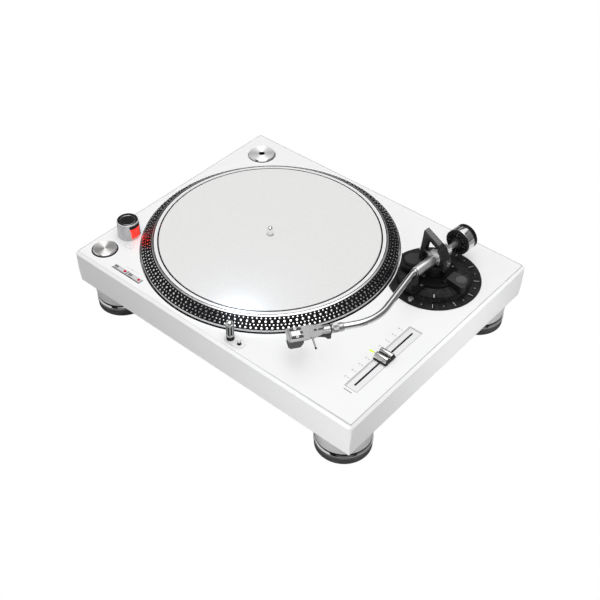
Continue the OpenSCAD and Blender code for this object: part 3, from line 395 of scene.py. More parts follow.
def finishOf(name, colour, shade, rough, **look):
    material = bpy.data.materials.new(name)
    material.use_nodes = True
    tree = material.node_tree
    shader = tree.nodes["Principled BSDF"]
    grain = newNode(tree, "Group", {"Scale": look.get("grain", 1500.0), "Mottle": look.get("mottle", 40.0)},
                    node_tree=grainGroup)
    tone, ridge = grain.outputs
    if "lines" in look:
        marks = newNode(tree, "Group", {"Fineness": look["fineness"]}, node_tree=lineGroups[look["lines"]])
        tone = reckon(tree, "ADD", reckon(tree, "MULTIPLY", tone, 0.35),
                      reckon(tree, "MULTIPLY", marks.outputs[0], 0.65))
        ridge = marks.outputs[1]
    base = mixColours(tree, remap(tree, tone, toneLow, toneHigh, 0.0, 1.0), shade, colour)
    if "rub" in look:
        mask = newNode(tree, "Group", node_tree=rubGroup).outputs["Mask"]
        base = mixColours(tree, mask, base, look["rub"])
    tree.links.new(base, shader.inputs["Base Color"])
    tree.links.new(remap(tree, tone, toneLow, toneHigh, rough[1], rough[0]), shader.inputs["Roughness"])
    if "bump" in look:
        bump = newNode(tree, "Bump", {"Strength": look["bump"], "Distance": look.get("depth", 0.05) * mm,
                                      "Height": ridge})
        tree.links.new(bump.outputs["Normal"], shader.inputs["Normal"])
    if "lit" in look:
        share = remap(tree, grain.outputs["Tone"], 0.3, 0.7, 0.0, 1.0)
        tree.links.new(mixColours(tree, share, look["dim"], look["lit"]), shader.inputs["Emission Color"])
    if "streak" in look:
        tangent = newNode(tree, "Tangent", direction_type="RADIAL", axis="Z")
        tree.links.new(tangent.outputs["Tangent"], shader.inputs["Tangent"])
    for option, socket in fixedSockets.items():
        if option in look:
            shader.inputs[socket].default_value = look[option]
    finishes[name] = material


# Finishes: colour, its darker shade, roughness from low to high, and what the surface shows
finishes = {}
finishOf("whitePaint", (0.905, 0.905, 0.908), (0.885, 0.886, 0.892), (0.3, 0.4), grain=2600, mottle=18,
         bump=0.05,
         depth=0.02, coat=0.12, coatRough=0.15)
# Black paint; the same finish also serves as painted shade in gaps, grooves, holes and screw slots
finishOf("blackPaint", (0.0075, 0.0075, 0.008), (0.006, 0.006, 0.0064), (0.34, 0.4), grain=3200, bump=0.12,
         rub=(0.05, 0.05, 0.052), specular=0.12)
finishOf("yokeBlack", (0.014, 0.014, 0.015), (0.008, 0.008, 0.009), (0.22, 0.34), grain=2600, bump=0.08,
         rub=0.05,
         specular=0.4)
finishOf("edgeShade", 0.3, 0.25, (0.5, 0.62), grain=2400, bump=0.05, depth=0.02, specular=0.1)
finishOf("blackPlastic", (0.013, 0.013, 0.014), (0.007, 0.007, 0.008), (0.4, 0.54), grain=4200, bump=0.18,
         rub=(0.06, 0.06, 0.062), specular=0.14)
finishOf("greyTop", (0.042, 0.042, 0.044), (0.03, 0.03, 0.031), (0.42, 0.58), grain=3600, bump=0.2,
         specular=0.2)
finishOf("padGrey", (0.1, 0.1, 0.103), (0.075, 0.075, 0.077), (0.4, 0.52), grain=3600, bump=0.2, specular=0.2)
finishOf("yokeFace", (0.33, 0.33, 0.335), (0.26, 0.26, 0.265), (0.2, 0.34), lines="brushed", fineness=2600,
         bump=0.05, metallic=0.85)
finishOf("brightChrome", (0.93, 0.93, 0.935), (0.88, 0.885, 0.89), (0.035, 0.1), grain=900, mottle=60,
         metallic=1)
finishOf("armChrome", (0.74, 0.74, 0.745), (0.66, 0.66, 0.665), (0.05, 0.11), grain=900, mottle=60, bump=0.03,
         depth=0.02, metallic=1)
finishOf("darkChrome", (0.3, 0.3, 0.303), (0.22, 0.22, 0.223), (0.1, 0.2), grain=1600, bump=0.05, depth=0.03,
         rub=0.6, metallic=1)
finishOf("shellGrey", (0.46, 0.46, 0.462), (0.37, 0.37, 0.373), (0.22, 0.34), grain=2600, bump=0.08,
         depth=0.03,
         rub=0.75, metallic=0.85)
finishOf("spunSilver", (0.8, 0.79, 0.77), (0.6, 0.595, 0.58), (0.36, 0.46), lines="spun", fineness=3000,
         bump=0.1,
         depth=0.02, metallic=1, streak=0.95, streakTurn=0.25)
finishOf("adapterSilver", (0.95, 0.95, 0.945), (0.84, 0.84, 0.835), (0.36, 0.46), lines="spun", fineness=3000,
         bump=0.1, depth=0.02, metallic=0.6, streak=0.95, streakTurn=0.25)
finishOf("satinSilver", (0.78, 0.78, 0.785), (0.68, 0.68, 0.69), (0.24, 0.36), grain=2400, bump=0.08,
         depth=0.03,
         rub=0.9, metallic=0.9)
finishOf("footSilver", (0.86, 0.86, 0.865), (0.77, 0.77, 0.78), (0.28, 0.4), lines="spun", fineness=1800,
         bump=0.08, depth=0.03, metallic=0.55)
finishOf("sleeveGrey", (0.84, 0.84, 0.845), (0.72, 0.72, 0.725), (0.26, 0.36), grain=2600, bump=0.08,
         depth=0.03,
         rub=0.6, metallic=0.9)
finishOf("towerGrey", (0.66, 0.66, 0.67), (0.57, 0.57, 0.58), (0.34, 0.46), grain=2800, bump=0.1, depth=0.03,
         metallic=0.35)
finishOf("platterWhite", 0.9, (0.83, 0.83, 0.835), (0.18, 0.3), lines="spun", fineness=1500, bump=0.04,
         depth=0.02,
         metallic=0.1, coat=0.2)
finishOf("bandBlack", (0.014, 0.014, 0.015), (0.007, 0.007, 0.008), (0.5, 0.62), lines="spun", fineness=1600,
         bump=0.06, depth=0.03, specular=0.02)
finishOf("dotSilver", 0.96, 0.86, (0.1, 0.2), grain=2200, metallic=1)
finishOf("paleFelt", (0.82, 0.818, 0.81), (0.72, 0.72, 0.714), (0.88, 0.98), lines="felt", fineness=1500,
         mottle=300, bump=0.5, depth=0.2, sheen=0.25, sheenRough=0.5, specular=0.15)
finishOf("greyPlastic", (0.66, 0.66, 0.665), (0.58, 0.58, 0.585), (0.34, 0.46), grain=3600, bump=0.12,
         depth=0.03)
finishOf("whitePlastic", 0.88, (0.82, 0.82, 0.825), (0.3, 0.42), grain=3000, bump=0.08, depth=0.03)
finishOf("plateSilver", (0.85, 0.85, 0.86), (0.77, 0.77, 0.78), (0.34, 0.48), lines="brushed", fineness=2200,
         bump=0.06, depth=0.02, metallic=0.15)
finishOf("knobSilver", (0.8, 0.795, 0.775), (0.66, 0.655, 0.635), (0.16, 0.26), lines="brushed",
         fineness=3000,
         bump=0.05, depth=0.02, metallic=1)
finishOf("baseRubber", (0.042, 0.042, 0.043), (0.028, 0.028, 0.029), (0.62, 0.8), grain=1800, bump=0.35,
         depth=0.1)
finishOf("footRubber", (0.05, 0.05, 0.051), (0.032, 0.032, 0.033), (0.5, 0.68), grain=2400, bump=0.3,
         depth=0.08,
         rub=0.12)
finishOf("zincSteel", (0.62, 0.62, 0.61), (0.5, 0.5, 0.49), (0.26, 0.42), grain=1400, bump=0.1, metallic=1)
finishOf("boardGreen", (0.03, 0.16, 0.07), (0.02, 0.1, 0.05), (0.3, 0.45), grain=1200, bump=0.2)
finishOf("magnetGrey", (0.07, 0.068, 0.066), (0.045, 0.044, 0.043), (0.5, 0.66), bump=0.25)
finishOf("goldPlate", (0.83, 0.62, 0.27), (0.68, 0.48, 0.19), (0.14, 0.26), grain=2000, bump=0.05, metallic=1)
finishOf("brassPin", (0.55, 0.38, 0.16), (0.38, 0.25, 0.1), (0.2, 0.34), grain=2400, bump=0.05, metallic=1)
# Print tones; the dark and pale ones also paint shade on some pieces, and the white one a highlight
inks = {"darkPrintAndShade": ((0.05, 0.05, 0.052), (0.035, 0.035, 0.036), (0.4, 0.55)),
        "greyPrint": ((0.38, 0.38, 0.385), (0.31, 0.31, 0.315), (0.45, 0.6)),
        "palePrintAndShade": ((0.62, 0.62, 0.625), (0.54, 0.54, 0.545), (0.45, 0.6)),
        "whitePrint": (0.8, 0.66, (0.4, 0.55))}
for inkName, ink in inks.items():
    finishOf(inkName, *ink, grain=5000, bump=0.1, depth=0.02)
finishOf("redRing", (0.5, 0.02, 0.02), (0.38, 0.015, 0.015), (0.34, 0.46), grain=3000, bump=0.1, depth=0.03)
finishOf("redGlow", (0.8, 0.05, 0.03), (0.6, 0.02, 0.02), (0.12, 0.22), grain=700, mottle=110,
         dim=(1.0, 0.02, 0.025), lit=(1.0, 0.07, 0.04), power=1.0, specular=0.1)
finishOf("redDot", (0.6, 0.0, 0.04), (0.5, 0.0, 0.03), (0.15, 0.25), grain=2000, dim=(0.5, 0.0, 0.04),
         lit=(0.75, 0.0, 0.07), power=0.06, specular=0.1)
finishOf("greenGlow", (0.5, 0.8, 0.0), (0.4, 0.65, 0.0), (0.15, 0.25), grain=2000, dim=(0.45, 0.8, 0.0),
         lit=(0.6, 1.0, 0.0), power=0.75)
print("finishes made:", len(finishes))

# Camera at the photograph's place
cameraLook = {"lens": 62.40, "place": (0.652393, -0.753876, 0.939431), "azimuth": 40.764, "elevation": 42.841}
cameraTurn = math.radians(cameraLook["azimuth"])
cameraRise = math.radians(cameraLook["elevation"])
cameraBack = Vector((math.sin(cameraTurn) * math.cos(cameraRise),
                     -math.cos(cameraTurn) * math.cos(cameraRise),
                     math.sin(cameraRise)))
cameraData = bpy.data.cameras.new("camera")
cameraData.lens = cameraLook["lens"]
cameraData.sensor_width = 36
camera = bpy.data.objects.new("camera", cameraData)
camera.location = cameraLook["place"]
camera.rotation_mode = "QUATERNION"
camera.rotation_quaternion = (-cameraBack).to_track_quat("-Z", "Y")
bpy.context.scene.collection.objects.link(camera)
bpy.context.scene.camera = camera
bpy.context.scene.view_settings.view_transform = "Standard"

# Studio: an overhead strip that runs away from the viewer, a low soft box on each side, a pale floor
studio = {"floor": 0.41, "floorSize": 4.0, "floorDrop": 0.0005, "peak": 3.38, "across": (0.757, 0.653, 0.0),
          "heights": [(0.0, 0.02), (0.58, 0.035), (0.66, 0.34), (0.86, 0.38), (0.93, 1.0), (1.0, 1.0)],
          "strip": [(0.0, 0.1), (0.30, 0.1), (0.35, 1.0), (0.72, 1.0), (0.79, 0.12), (1.0, 0.12)],
          "boxes": [(0.0, 0.19), (0.15, 0.19), (0.18, 0.0), (0.8, 0.0), (0.84, 0.055), (1.0, 0.055)],
          "boxHeights": [(0.0, 0.0), (0.08, 1.0), (0.66, 1.0), (0.72, 0.0), (1.0, 0.0)]}
white = (1, 1, 1, 1)


def levelRamp(tree, value, levels):
    ramp = newNode(tree, "ValToRGB", {"Fac": value})
    while len(ramp.color_ramp.elements) < len(levels):
        ramp.color_ramp.elements.new(0.5)
    for element, (place, level) in zip(ramp.color_ramp.elements, levels):
        element.position = place
        element.color = (level, level, level, 1)
    return ramp.outputs["Color"]


def seenAs(tree, lights, seen, output):
    # the camera sees one shader, and the light of the other falls on the object
    ray = newNode(tree, "LightPath").outputs["Is Camera Ray"]
    mix = newNode(tree, "MixShader", {0: ray, 1: lights.outputs[0], 2: seen.outputs[0]})
    newNode(tree, output, {"Surface": mix.outputs[0]})


world = bpy.data.worlds.new("studio")
bpy.context.scene.world = world
world.use_nodes = True
worldTree = world.node_tree
worldTree.nodes.clear()
worldSpot = newNode(worldTree, "TexCoord").outputs["Generated"]
worldHeight = newNode(worldTree, "SeparateXYZ", {0: worldSpot}).outputs["Z"]
worldSide = newNode(worldTree, "VectorMath", {0: worldSpot, 1: studio["across"]}, operation="DOT_PRODUCT")
worldAcross = remap(worldTree, worldSide.outputs["Value"], -1.0, 1.0, 0.0, 1.0)
worldParts = []
for heightLevels, sideLevels in (("heights", "strip"), ("boxHeights", "boxes")):
    worldParts.append(reckon(worldTree, "MULTIPLY", levelRamp(worldTree, worldHeight, studio[heightLevels]),
                             levelRamp(worldTree, worldAcross, studio[sideLevels])))
worldLevel = reckon(worldTree, "MULTIPLY", reckon(worldTree, "ADD", *worldParts), studio["peak"])
seenAs(worldTree, newNode(worldTree, "Background", {"Color": white, "Strength": worldLevel}),
       newNode(worldTree, "Background", {"Color": white, "Strength": 1.0}), "OutputWorld")

floorFinish = bpy.data.materials.new("paleFloor")
floorFinish.use_nodes = True
floorTree = floorFinish.node_tree
floorTree.nodes.clear()
seenAs(floorTree, newNode(floorTree, "BsdfDiffuse", {"Color": tint(studio["floor"])}),
       newNode(floorTree, "Emission", {"Color": white, "Strength": 1.0}), "OutputMaterial")
floorMesh = bpy.data.meshes.new("floor")
floorEdge = studio["floorSize"]
floorCorners = [(x, y, -studio["floorDrop"]) for x, y in bar(0, 0, 2 * floorEdge, 2 * floorEdge)]
floorMesh.from_pydata(floorCorners, [], [(0, 1, 2, 3)])
floorMesh.materials.append(floorFinish)
floor = bpy.data.objects.new("floor", floorMesh)
bpy.context.scene.collection.objects.link(floor)


def softPanel(name, place, aim, size, power, colour=(1, 1, 1), spread=180):
    data = bpy.data.lights.new(name, "AREA")
    data.shape = "RECTANGLE"
    data.size, data.size_y = size
    data.energy = power
    data.color = colour
    data.spread = math.radians(spread)
    panel = bpy.data.objects.new(name, data)
    panel.location = place
    panel.rotation_euler = (Vector(aim) - Vector(place)).to_track_quat("-Z", "Y").to_euler()
    panel.visible_glossy = False
    panel.visible_camera = False
    bpy.context.scene.collection.objects.link(panel)


softPanel("frontFill", (0.30, -0.62, 0.08), (0.2, -0.17, 0.06), (0.25, 0.14), 1.05)
softPanel("sideFill", (0.43, 0.05, 0.07), (0.22, 0.05, 0.06), (0.16, 0.1), 0.26)
print("camera and studio ready")


# Carried-over nodes: a finish, and softened edges where the real part has them
def dress(name, look, edge):
    node = nodes[name]
    node.data.materials.clear()
    node.data.materials.append(finishes[look])
    if not edge:
        return
    imported = node.data.attributes.get("custom_normal")
    if imported:
        node.data.attributes.remove(imported)
    node.data.shade_smooth()
    weld = node.modifiers.new("weld", "WELD")
    weld.merge_threshold = 0.002 * mm
    soft = node.modifiers.new("softEdges", "BEVEL")
    soft.width = edge * mm
    soft.segments = 2
    soft.limit_method = "ANGLE"
    soft.angle_limit = math.radians(30)
    soft.use_clamp_overlap = False
    flat = node.modifiers.new("flatFaces", "WEIGHTED_NORMAL")
    flat.keep_sharp = True


def paintFaces(name, look, chosen):
    mesh = nodes[name].data
    mesh.materials.append(finishes[look])
    index = len(mesh.materials) - 1
    for polygon in mesh.polygons:
        if chosen(polygon.center, polygon.normal):
            polygon.material_index = index


carried = {
    "whitePaint": "plinth_shell", "baseRubber": "bottom_cover", "bandBlack": "fader_track",
    "yokeBlack": "arm_yoke", "magnetGrey": "rotor_magnet", "goldPlate": "phono_jacks",
    "boardGreen": "motor_stator main_board key_board strobe_lamp",
    "zincSteel": "cover_screws bearing_housing power_supply lock_knob pivot_screws",
    "blackPlastic": "power_inlet jack_panel arm_rest antiskate_dial cue_lever cue_lifter weight_core",
    "blackPaint": "arm_base_plate height_ring arm_mount", "whitePlastic": "lamp_plate output_switch",
    "towerGrey": "strobe_tower", "redGlow": "strobe_window", "plateSilver": "fader_plate",
    "shellGrey": "headshell", "greenGlow": "pitch_lamp", "brightChrome": "spindle",
}
softEdges = {"plinth_shell": 0.3, "jack_panel": 0.3, "arm_mount": 0.3, "arm_rest": 0.4, "cue_lever": 0.4,
             "arm_yoke": 0.5, "headshell": 0.25, "output_switch": 0.2}
for carriedLook, carriedNames in carried.items():
    for carriedName in carriedNames.split():
        dress(carriedName, carriedLook, softEdges.get(carriedName))

towerLook = {"rim": 1.25, "well": 13.3, "wellDrop": 0.3}
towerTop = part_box("strobe_tower")[1].z
towerSpot = middle("strobe_tower").xy
rimLow = towerTop - towerLook["rim"] * mm
wellTop = towerTop - towerLook["wellDrop"] * mm
wellWide = towerLook["well"] * mm
paintFaces("strobe_tower", "footSilver", lambda centre, normal: centre.z > rimLow and normal.z > 0.2)
paintFaces("strobe_tower", "blackPlastic",
           lambda centre, normal: (centre.xy - towerSpot).length < wellWide and centre.z < wellTop)
paintFaces("strobe_tower", "satinSilver",
           lambda centre, normal: centre.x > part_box("strobe_window")[0].x and abs(normal.y) > 0.98)
paintFaces("antiskate_dial", "greyTop", lambda centre, normal: normal.z > 0.9)
cueLook = {"faceDrop": 0.3, "padDrop": 1.0}
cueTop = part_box("cue_lever")[1].z
cueFace = cueTop - cueLook["faceDrop"] * mm
padLow = cueTop - cueLook["padDrop"] * mm
paintFaces("cue_lever", "greyTop", lambda centre, normal: normal.z > 0.9 and centre.z > cueFace)
paintFaces("cue_lever", "padGrey", lambda centre, normal: normal.z > 0.9 and padLow < centre.z < cueFace)
print("carried nodes dressed")

# Platter: turned rim, black band with raised mirror dots, skirt and web
# each row of dots is a count, a radius and a share of the band
platterLook = {
    "lipWidth": 0.15, "lipHeight": 2.9, "bandRun": 13.6, "shoulder": 0.7, "shoulderRun": 2.0,
    "rimWidth": 7.55,
    "skirt": 12.0, "hub": 24.0, "bore": 3.82, "web": 5.0, "hubLow": -6.0, "seatDrop": 0.3, "dotSides": 12,
    "rows": [(160, 1.25, 0.15), (216, 0.9, 0.385), (133, 1.36, 0.62), (180, 0.93, 0.855)],
}
platterPlace = onDeck("platter")
platterMid = middle("platter")
skirtLow, rimTop = heights("platter")
matLow, matTop = heights("slipmat")
wide = span("platter", 1) / 2
bore, hub, hubLow, lip = [platterLook[key] for key in ("bore", "hub", "hubLow", "lipHeight")]
bandOuter = wide - platterLook["lipWidth"]
bandInner = bandOuter - platterLook["bandRun"]
bandTop = rimTop - platterLook["shoulder"]
groove = bandInner - platterLook["shoulderRun"]
rimInner = bandInner - platterLook["rimWidth"]
skirtInner = wide - platterLook["skirt"]
seatTop = matLow - platterLook["seatDrop"]
webLow = seatTop - platterLook["web"]
# The black strips are painted shade: at the foot of the skirt in the gap round the platter, in the small
# groove inside the band, and on the rim's inner edge and wall in the gap by the mat
platterRows = [
    (bore, hubLow), (hub, hubLow), (hub, webLow), (skirtInner, webLow), (skirtInner, skirtLow),
    (wide - 0.4, skirtLow, 2), (wide, skirtLow + 0.4, 2), (wide, 0.2), (wide, lip - 0.15),
    (bandOuter, lip, 1),
    (bandInner, bandTop, 3), (groove, rimTop, 2), (groove - 0.15, rimTop - 0.5, 2),
    (groove - 0.95, rimTop - 0.5, 2),
    (groove - 1.1, rimTop), (rimInner + 0.3, rimTop, 2), (rimInner, rimTop - 0.3, 2), (rimInner, seatTop, 2),
    (rimInner - 3, seatTop), (bore, seatTop)]
turned("platterTurned", platterRows, "platter", "platterWhite bandBlack blackPaint satinSilver",
       platterPlace, "platter", 256, sharp=20)

bm = bmesh.new()
bandSlope = Vector((bandInner - bandOuter, bandTop - lip))
dotSides = platterLook["dotSides"]
for count, size, share in platterLook["rows"]:
    spot = Vector((bandOuter, lip)) + bandSlope * share
    for k in range(count):
        turn = 2 * math.pi * (k + 0.5 * (count % 2)) / count
        out = Vector((math.cos(turn), math.sin(turn), 0))
        climb = (out * bandSlope.x + up * bandSlope.y).normalized()
        across = up.cross(out)
        lift = across.cross(climb)
        if lift.z < 0:
            lift = -lift
        centre = out * spot.x + up * spot.y
        rings = []
        for radius, height in ((1.0, -0.1), (1.0, 0.03), (0.9, 0.05)):
            rings.append(addRing(bm, centre + lift * height, across, climb, size * radius, dotSides))
        skin(bm, rings, top=False)
        peak = bm.verts.new((centre + lift * 0.07) * mm)
        for step in range(dotSides):
            bm.faces.new((rings[2][step - 1], rings[2][step], peak))
addPiece("strobeDots", bm, "platter", "dotSilver", platterPlace, sharp=50)

# Slipmat: pressed felt with a soft rolled edge and a slightly uneven face
matLook = {"hole": 4.07, "ripple": 0.06, "rings": 40, "steps": 192, "inset": 1.3}
hole = matLook["hole"]
wide = span("slipmat", 1) / 2 - matLook["inset"]
matRows = [(hole, matLow + 0.4), (hole, matTop - 0.5), (hole + 0.5, matTop - 0.05)]
for k in range(matLook["rings"] + 1):
    matRows.append((hole + 1 + (wide - hole - 2) * k / matLook["rings"], matTop))
matRows += [(wide - 0.5, matTop - 0.08), (wide - 0.12, matTop - 0.45), (wide, matTop - 0.9),
            (wide - 0.1, matLow + 0.2), (wide - 0.5, matLow), (hole + 0.4, matLow)]
mat = turned("feltMat", matRows, "slipmat", "paleFelt", platterPlace, "slipmat", matLook["steps"],
             sharp=60)
matRandom = random.Random(7)
for vertex in mat.data.vertices:
    if vertex.co.z > (matTop - 0.01) * mm:
        vertex.co.z -= matRandom.random() * matLook["ripple"] * mm
print("platter, dots and mat built")

# Feet: cone, groove, bright band and ribbed rubber
footLook = {"low": 33.8, "neck": 31.3, "band": 34.6, "flare": 1.06, "neckTall": 2.2, "bandTall": 6.4,
            "pad": 9.5,
            "stud": 4.0, "studTall": 9.3, "ribs": 3, "ribLow": 2.0, "ribStep": 2.3}
cone, neck, band, padTop, stud = [footLook[key] for key in ("low", "neck", "band", "pad", "stud")]
shineTop = padTop + footLook["bandTall"]
neckTop = shineTop + footLook["neckTall"]
rubber = band - 0.4
padRows = [(0, 0), (rubber - 3.0, 0), (rubber - 2.2, 0.25), (rubber - 0.9, 1.6)]
for rib in range(footLook["ribs"]):
    ribLow = footLook["ribLow"] + footLook["ribStep"] * rib
    padRows += [(rubber - 0.15, ribLow), (rubber - 0.1, ribLow + 1.5), (rubber - 0.8, ribLow + 1.7),
                (rubber - 0.8, ribLow + 2.1)]
padRows += [(rubber - 0.1, padTop - 0.5), (rubber - 0.4, padTop), (0, padTop)]
for corner in ("front_left", "front_right", "rear_left", "rear_right"):
    cup = "foot_cup_" + corner
    wide = span(cup, 0) / 2 * footLook["flare"]
    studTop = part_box(cup)[1].z / mm
    under = studTop - footLook["studTall"]
    # The black strips round the groove under the cone are painted shade in the groove; the lower part of the
    # band is dark chrome as painted shade, standing for the shaded floor it reflects
    cupRows = [
        (0, padTop, 1), (band - 0.7, padTop, 1), (band, padTop + 0.8, 4), (band, shineTop - 2.0, 1),
        (band - 1.6, shineTop, 2), (neck, shineTop, 2), (neck, neckTop, 2), (cone - 0.8, neckTop),
        (cone, neckTop + 0.9), (wide - 0.3, under - 1.6), (wide, under - 0.8), (wide - 0.5, under),
        (stud, under, 3),
        (stud, studTop, 3), (0, studTop, 3)]
    footPlace = Matrix.Translation((middle(cup).x, middle(cup).y, 0))
    turned("footCup_" + corner, cupRows, "foot_" + corner,
           "footSilver brightChrome blackPaint zincSteel darkChrome",
           footPlace, cup, soft=0.35)
    turned("footPad_" + corner, padRows, "foot_" + corner, "footRubber", footPlace,
           "foot_pad_" + corner)
print("feet built")

# Start button and adapter: turned discs
startLook = {"stem": 3.0, "flange": 1.5, "rise": 2.6, "deck": 4.3, "gapInner": 0.35, "gapOuter": 1.8}
stem, flange, rise, sunk = [startLook[key] for key in ("stem", "flange", "rise", "deck")]
wide = span("start_button", 0) / 2 - flange
foot = heights("start_button")[0]
# The black strip on the disc's side, from below the deck to just above it, is painted shade of the gap round
# the disc
startRows = [
    (0, foot), (stem, foot), (stem, -sunk - 1.5), (wide + flange, -sunk - 1.5), (wide + flange, -sunk),
    (wide, -sunk, 1), (wide, 1.2, 2), (wide - 0.15, rise - 0.9, 2), (wide - 1.1, rise - 0.1),
    (wide - 1.6, rise - 0.12), (4.0, rise - 0.3), (0, rise - 0.34)]
turned("startDisc", startRows, "start_button", "spunSilver blackPaint brightChrome",
       onDeck("start_button"), "start_button", 160, 0.25)
# A black ring on the deck round the disc: painted shade in the gap round the button
gapIn, gapOut = wide + startLook["gapInner"], wide + startLook["gapOuter"]
turned("startGap", [(gapIn, -0.2), (gapOut, -0.2), (gapOut, 0.04), (gapIn, 0.04)], "chassis", "blackPaint",
       onDeck("start_button"))

adapterLook = {"bore": 3.67, "rise": 2.6, "edge": 1.4}
bore, rise, edge = [adapterLook[key] for key in ("bore", "rise", "edge")]
wide = span("adapter_45", 0) / 2
foot = heights("adapter_45")[0]
# The black on the disc's lower side and down its bore is painted shade: under the edge and in the hole
adapterRows = [
    (bore, foot), (wide - 0.6, foot), (wide, foot + 0.6, 1), (wide, 0.6, 1), (wide, rise - edge, 2),
    (wide - edge, rise), (wide - 3.0, rise - 0.02), (bore + 0.7, rise - 0.05, 2), (bore, rise - 0.8, 1),
    (bore, foot + 0.2, 1)]
turned("adapterDisc", adapterRows, "adapter_45", "adapterSilver blackPaint brightChrome",
       onDeck("adapter_45"), "adapter_45", 160, 0.2)

# Power dial: black cap with a fine raised ring
dialLook = {"stem": 2.0, "stemTall": 5.0, "ring": 9.6, "ringWide": 0.5, "faceDrop": 0.4, "turn": 0.6}
stem, ring, ringWide, faceDrop = [dialLook[key] for key in ("stem", "ring", "ringWide", "faceDrop")]
wide = span("power_dial", 0) / 2
foot, top = heights("power_dial")
shelf = foot + dialLook["stemTall"]
dialRows = [
    (0, foot), (stem, foot), (stem, shelf), (wide, shelf), (wide, top - 0.5), (wide - 0.5, top - 0.05),
    (ring + 1.0, top - 0.05), (ring + ringWide, top - 0.3, 1), (ring, top - 0.05, 1),
    (ring - ringWide, top - faceDrop), (0, top - faceDrop)]
turned("powerCap", dialRows, "power_dial", "blackPlastic darkChrome", onDeck("power_dial"),
       "power_dial", soft=0.18)
printed("powerMark", [bar(0, 6.2, 0.7, 3.6)], "power_dial", "greyTop",
        onDeck("power_dial", dialLook["turn"]) @ shift(z=top - faceDrop))

# Speed buttons: soft-edged keys with a dark number plate and a red lamp
speedLook = {"width": 22.3, "depth": 5.8, "top": 1.3, "deck": 4.3, "plateTall": 1.5, "flange": 1.6,
             "plate": 5.6,
             "plateX": -7.0, "number": 2.9, "lamp": 2.0, "lampX": 7.9}
keyWide, keyDeep, keyRise, sunk = [speedLook[key] for key in ("width", "depth", "top", "deck")]
keyFoot = -sunk - speedLook["plateTall"]
for number in ("33", "45"):
    key = "speed_button_" + number
    bm = bmesh.new()
    addPrism(bm, bar(0, 0, keyWide, keyDeep), keyFoot, keyRise)
    softenEdges(bm, 0.35, 3)
    addPrism(bm, bar(0, 0, keyWide + speedLook["flange"], keyDeep + speedLook["flange"]), keyFoot, -sunk)
    addPrism(bm, bar(0, 0, 4, 3), heights(key)[0], keyFoot + 0.1)
    addPiece("speedKey_" + number, bm, key, "greyPlastic", onDeck(key), key)
    keyTop = onDeck(key) @ shift(z=keyRise)
    printed("speedPlate_" + number, [roundedBar(speedLook["plateX"], 0, speedLook["plate"], 3.4, 0.5)], key,
            "darkPrintAndShade", keyTop)
    numerals("speedNumber_" + number, [(number, speedLook["plateX"], 0, speedLook["number"], 0.0)], key,
             "whitePrint",
             keyTop @ shift(z=0.05), 0.03)
    turned("speedLamp_" + number, [(0, -0.2), (speedLook["lamp"], -0.2), (speedLook["lamp"], 0.2), (0, 0.45)],
           key,
           "redDot", keyTop @ shift(speedLook["lampX"]), steps=32, soft=0.2)

# Target lamp: fluted post with a bright dome, and its small key
lampLook = {"radius": 4.8, "base": 5.2, "waist": 4.45, "flutes": 8, "fluteDeep": 0.8, "dome": 4.5,
            "keyRise": 2.6}
post, base, waist, dome = [lampLook[key] for key in ("radius", "base", "waist", "dome")]
foot, top = heights("target_lamp")
domeLow = top - dome
lampRows = [(0, foot, 1), (post, foot, 1), (post, base - 0.6, 1), (post - 0.3, base), (waist, base + 0.8),
            (waist, base + 1.4), (post - 0.05, base + 2.2)]
for k in range(9):
    lampRows.append((post - 0.05, base + 2.6 + (domeLow - 4.4 - base) * k / 8))
lampRows += [(post - 0.1, domeLow - 1.2), (waist - 0.2, domeLow - 0.8), (dome, domeLow - 0.3),
             (dome, domeLow + 0.3, 2)]
for k in range(1, 9):
    turn = math.radians(10 * k)
    lampRows.append((dome * math.cos(turn), domeLow + dome * math.sin(turn) * 0.99, 2))
lampRows.append((0, top, 2))
lampFlutes = {"low": base + 2.5, "high": domeLow - 1.5, "inside": 4.5, "count": lampLook["flutes"],
              "depth": lampLook["fluteDeep"]}
lampPost = turned("lampPost", lampRows, "target_lamp", "shellGrey blackPaint brightChrome blackPlastic",
                  onDeck("target_lamp"), "target_lamp", 160, flutes=lampFlutes, sharp=40)
# Faces in the hollows of the flutes take the black finish: painted shade between the bright ridges
for polygon in lampPost.data.polygons:
    turn = math.atan2(polygon.center.y, polygon.center.x)
    fluted = lampFlutes["low"] * mm < polygon.center.z < lampFlutes["high"] * mm
    if fluted and math.cos(lampLook["flutes"] * turn) < -0.1:
        polygon.material_index = 3

wide = span("lamp_button", 0) / 2
foot, top = heights("lamp_button")
top += lampLook["keyRise"]
turned("lampKey", [(0, foot, 1), (wide, foot, 1), (wide, top - 1.6), (wide - 0.1, top - 0.6),
                   (wide - 0.7, top),
                   (0, top - 0.15)], "lamp_button", "satinSilver blackPaint",
       onDeck("lamp_button"),
       "lamp_button", 64, 0.25)
print("front controls built")

# Pitch fader: knob with two bright ridges on a dark core, the sunk plate's edge lines with painted shade
# inside its left and top edges, a painted highlight along the slot, scale and numbers
faderLook = {
    "width": 18.0, "stem": (1.6, 6.0), "tickGap": 12.5, "tickX": -12.6, "numberX": -16.4, "lineWide": 0.5,
    "core": [(9.5, 0.3), (9.5, 2.4), (8.4, 3.2), (7.2, 6.6), (1.9, 6.6), (1.0, 4.6)],
    "ridge": [(1.3, 4.9), (8.9, 2.6), (8.9, 3.6), (7.7, 6.6), (6.5, 7.8), (4.7, 8.3), (2.6, 7.9), (1.4, 6.8)],
}
faderPlace = onDeck("fader_plate")
knobPlace = onDeck("fader_knob")
half = faderLook["width"] / 2
line = faderLook["lineWide"]


def mirrored(outline):
    return [(-y, z) for y, z in reversed(outline)]


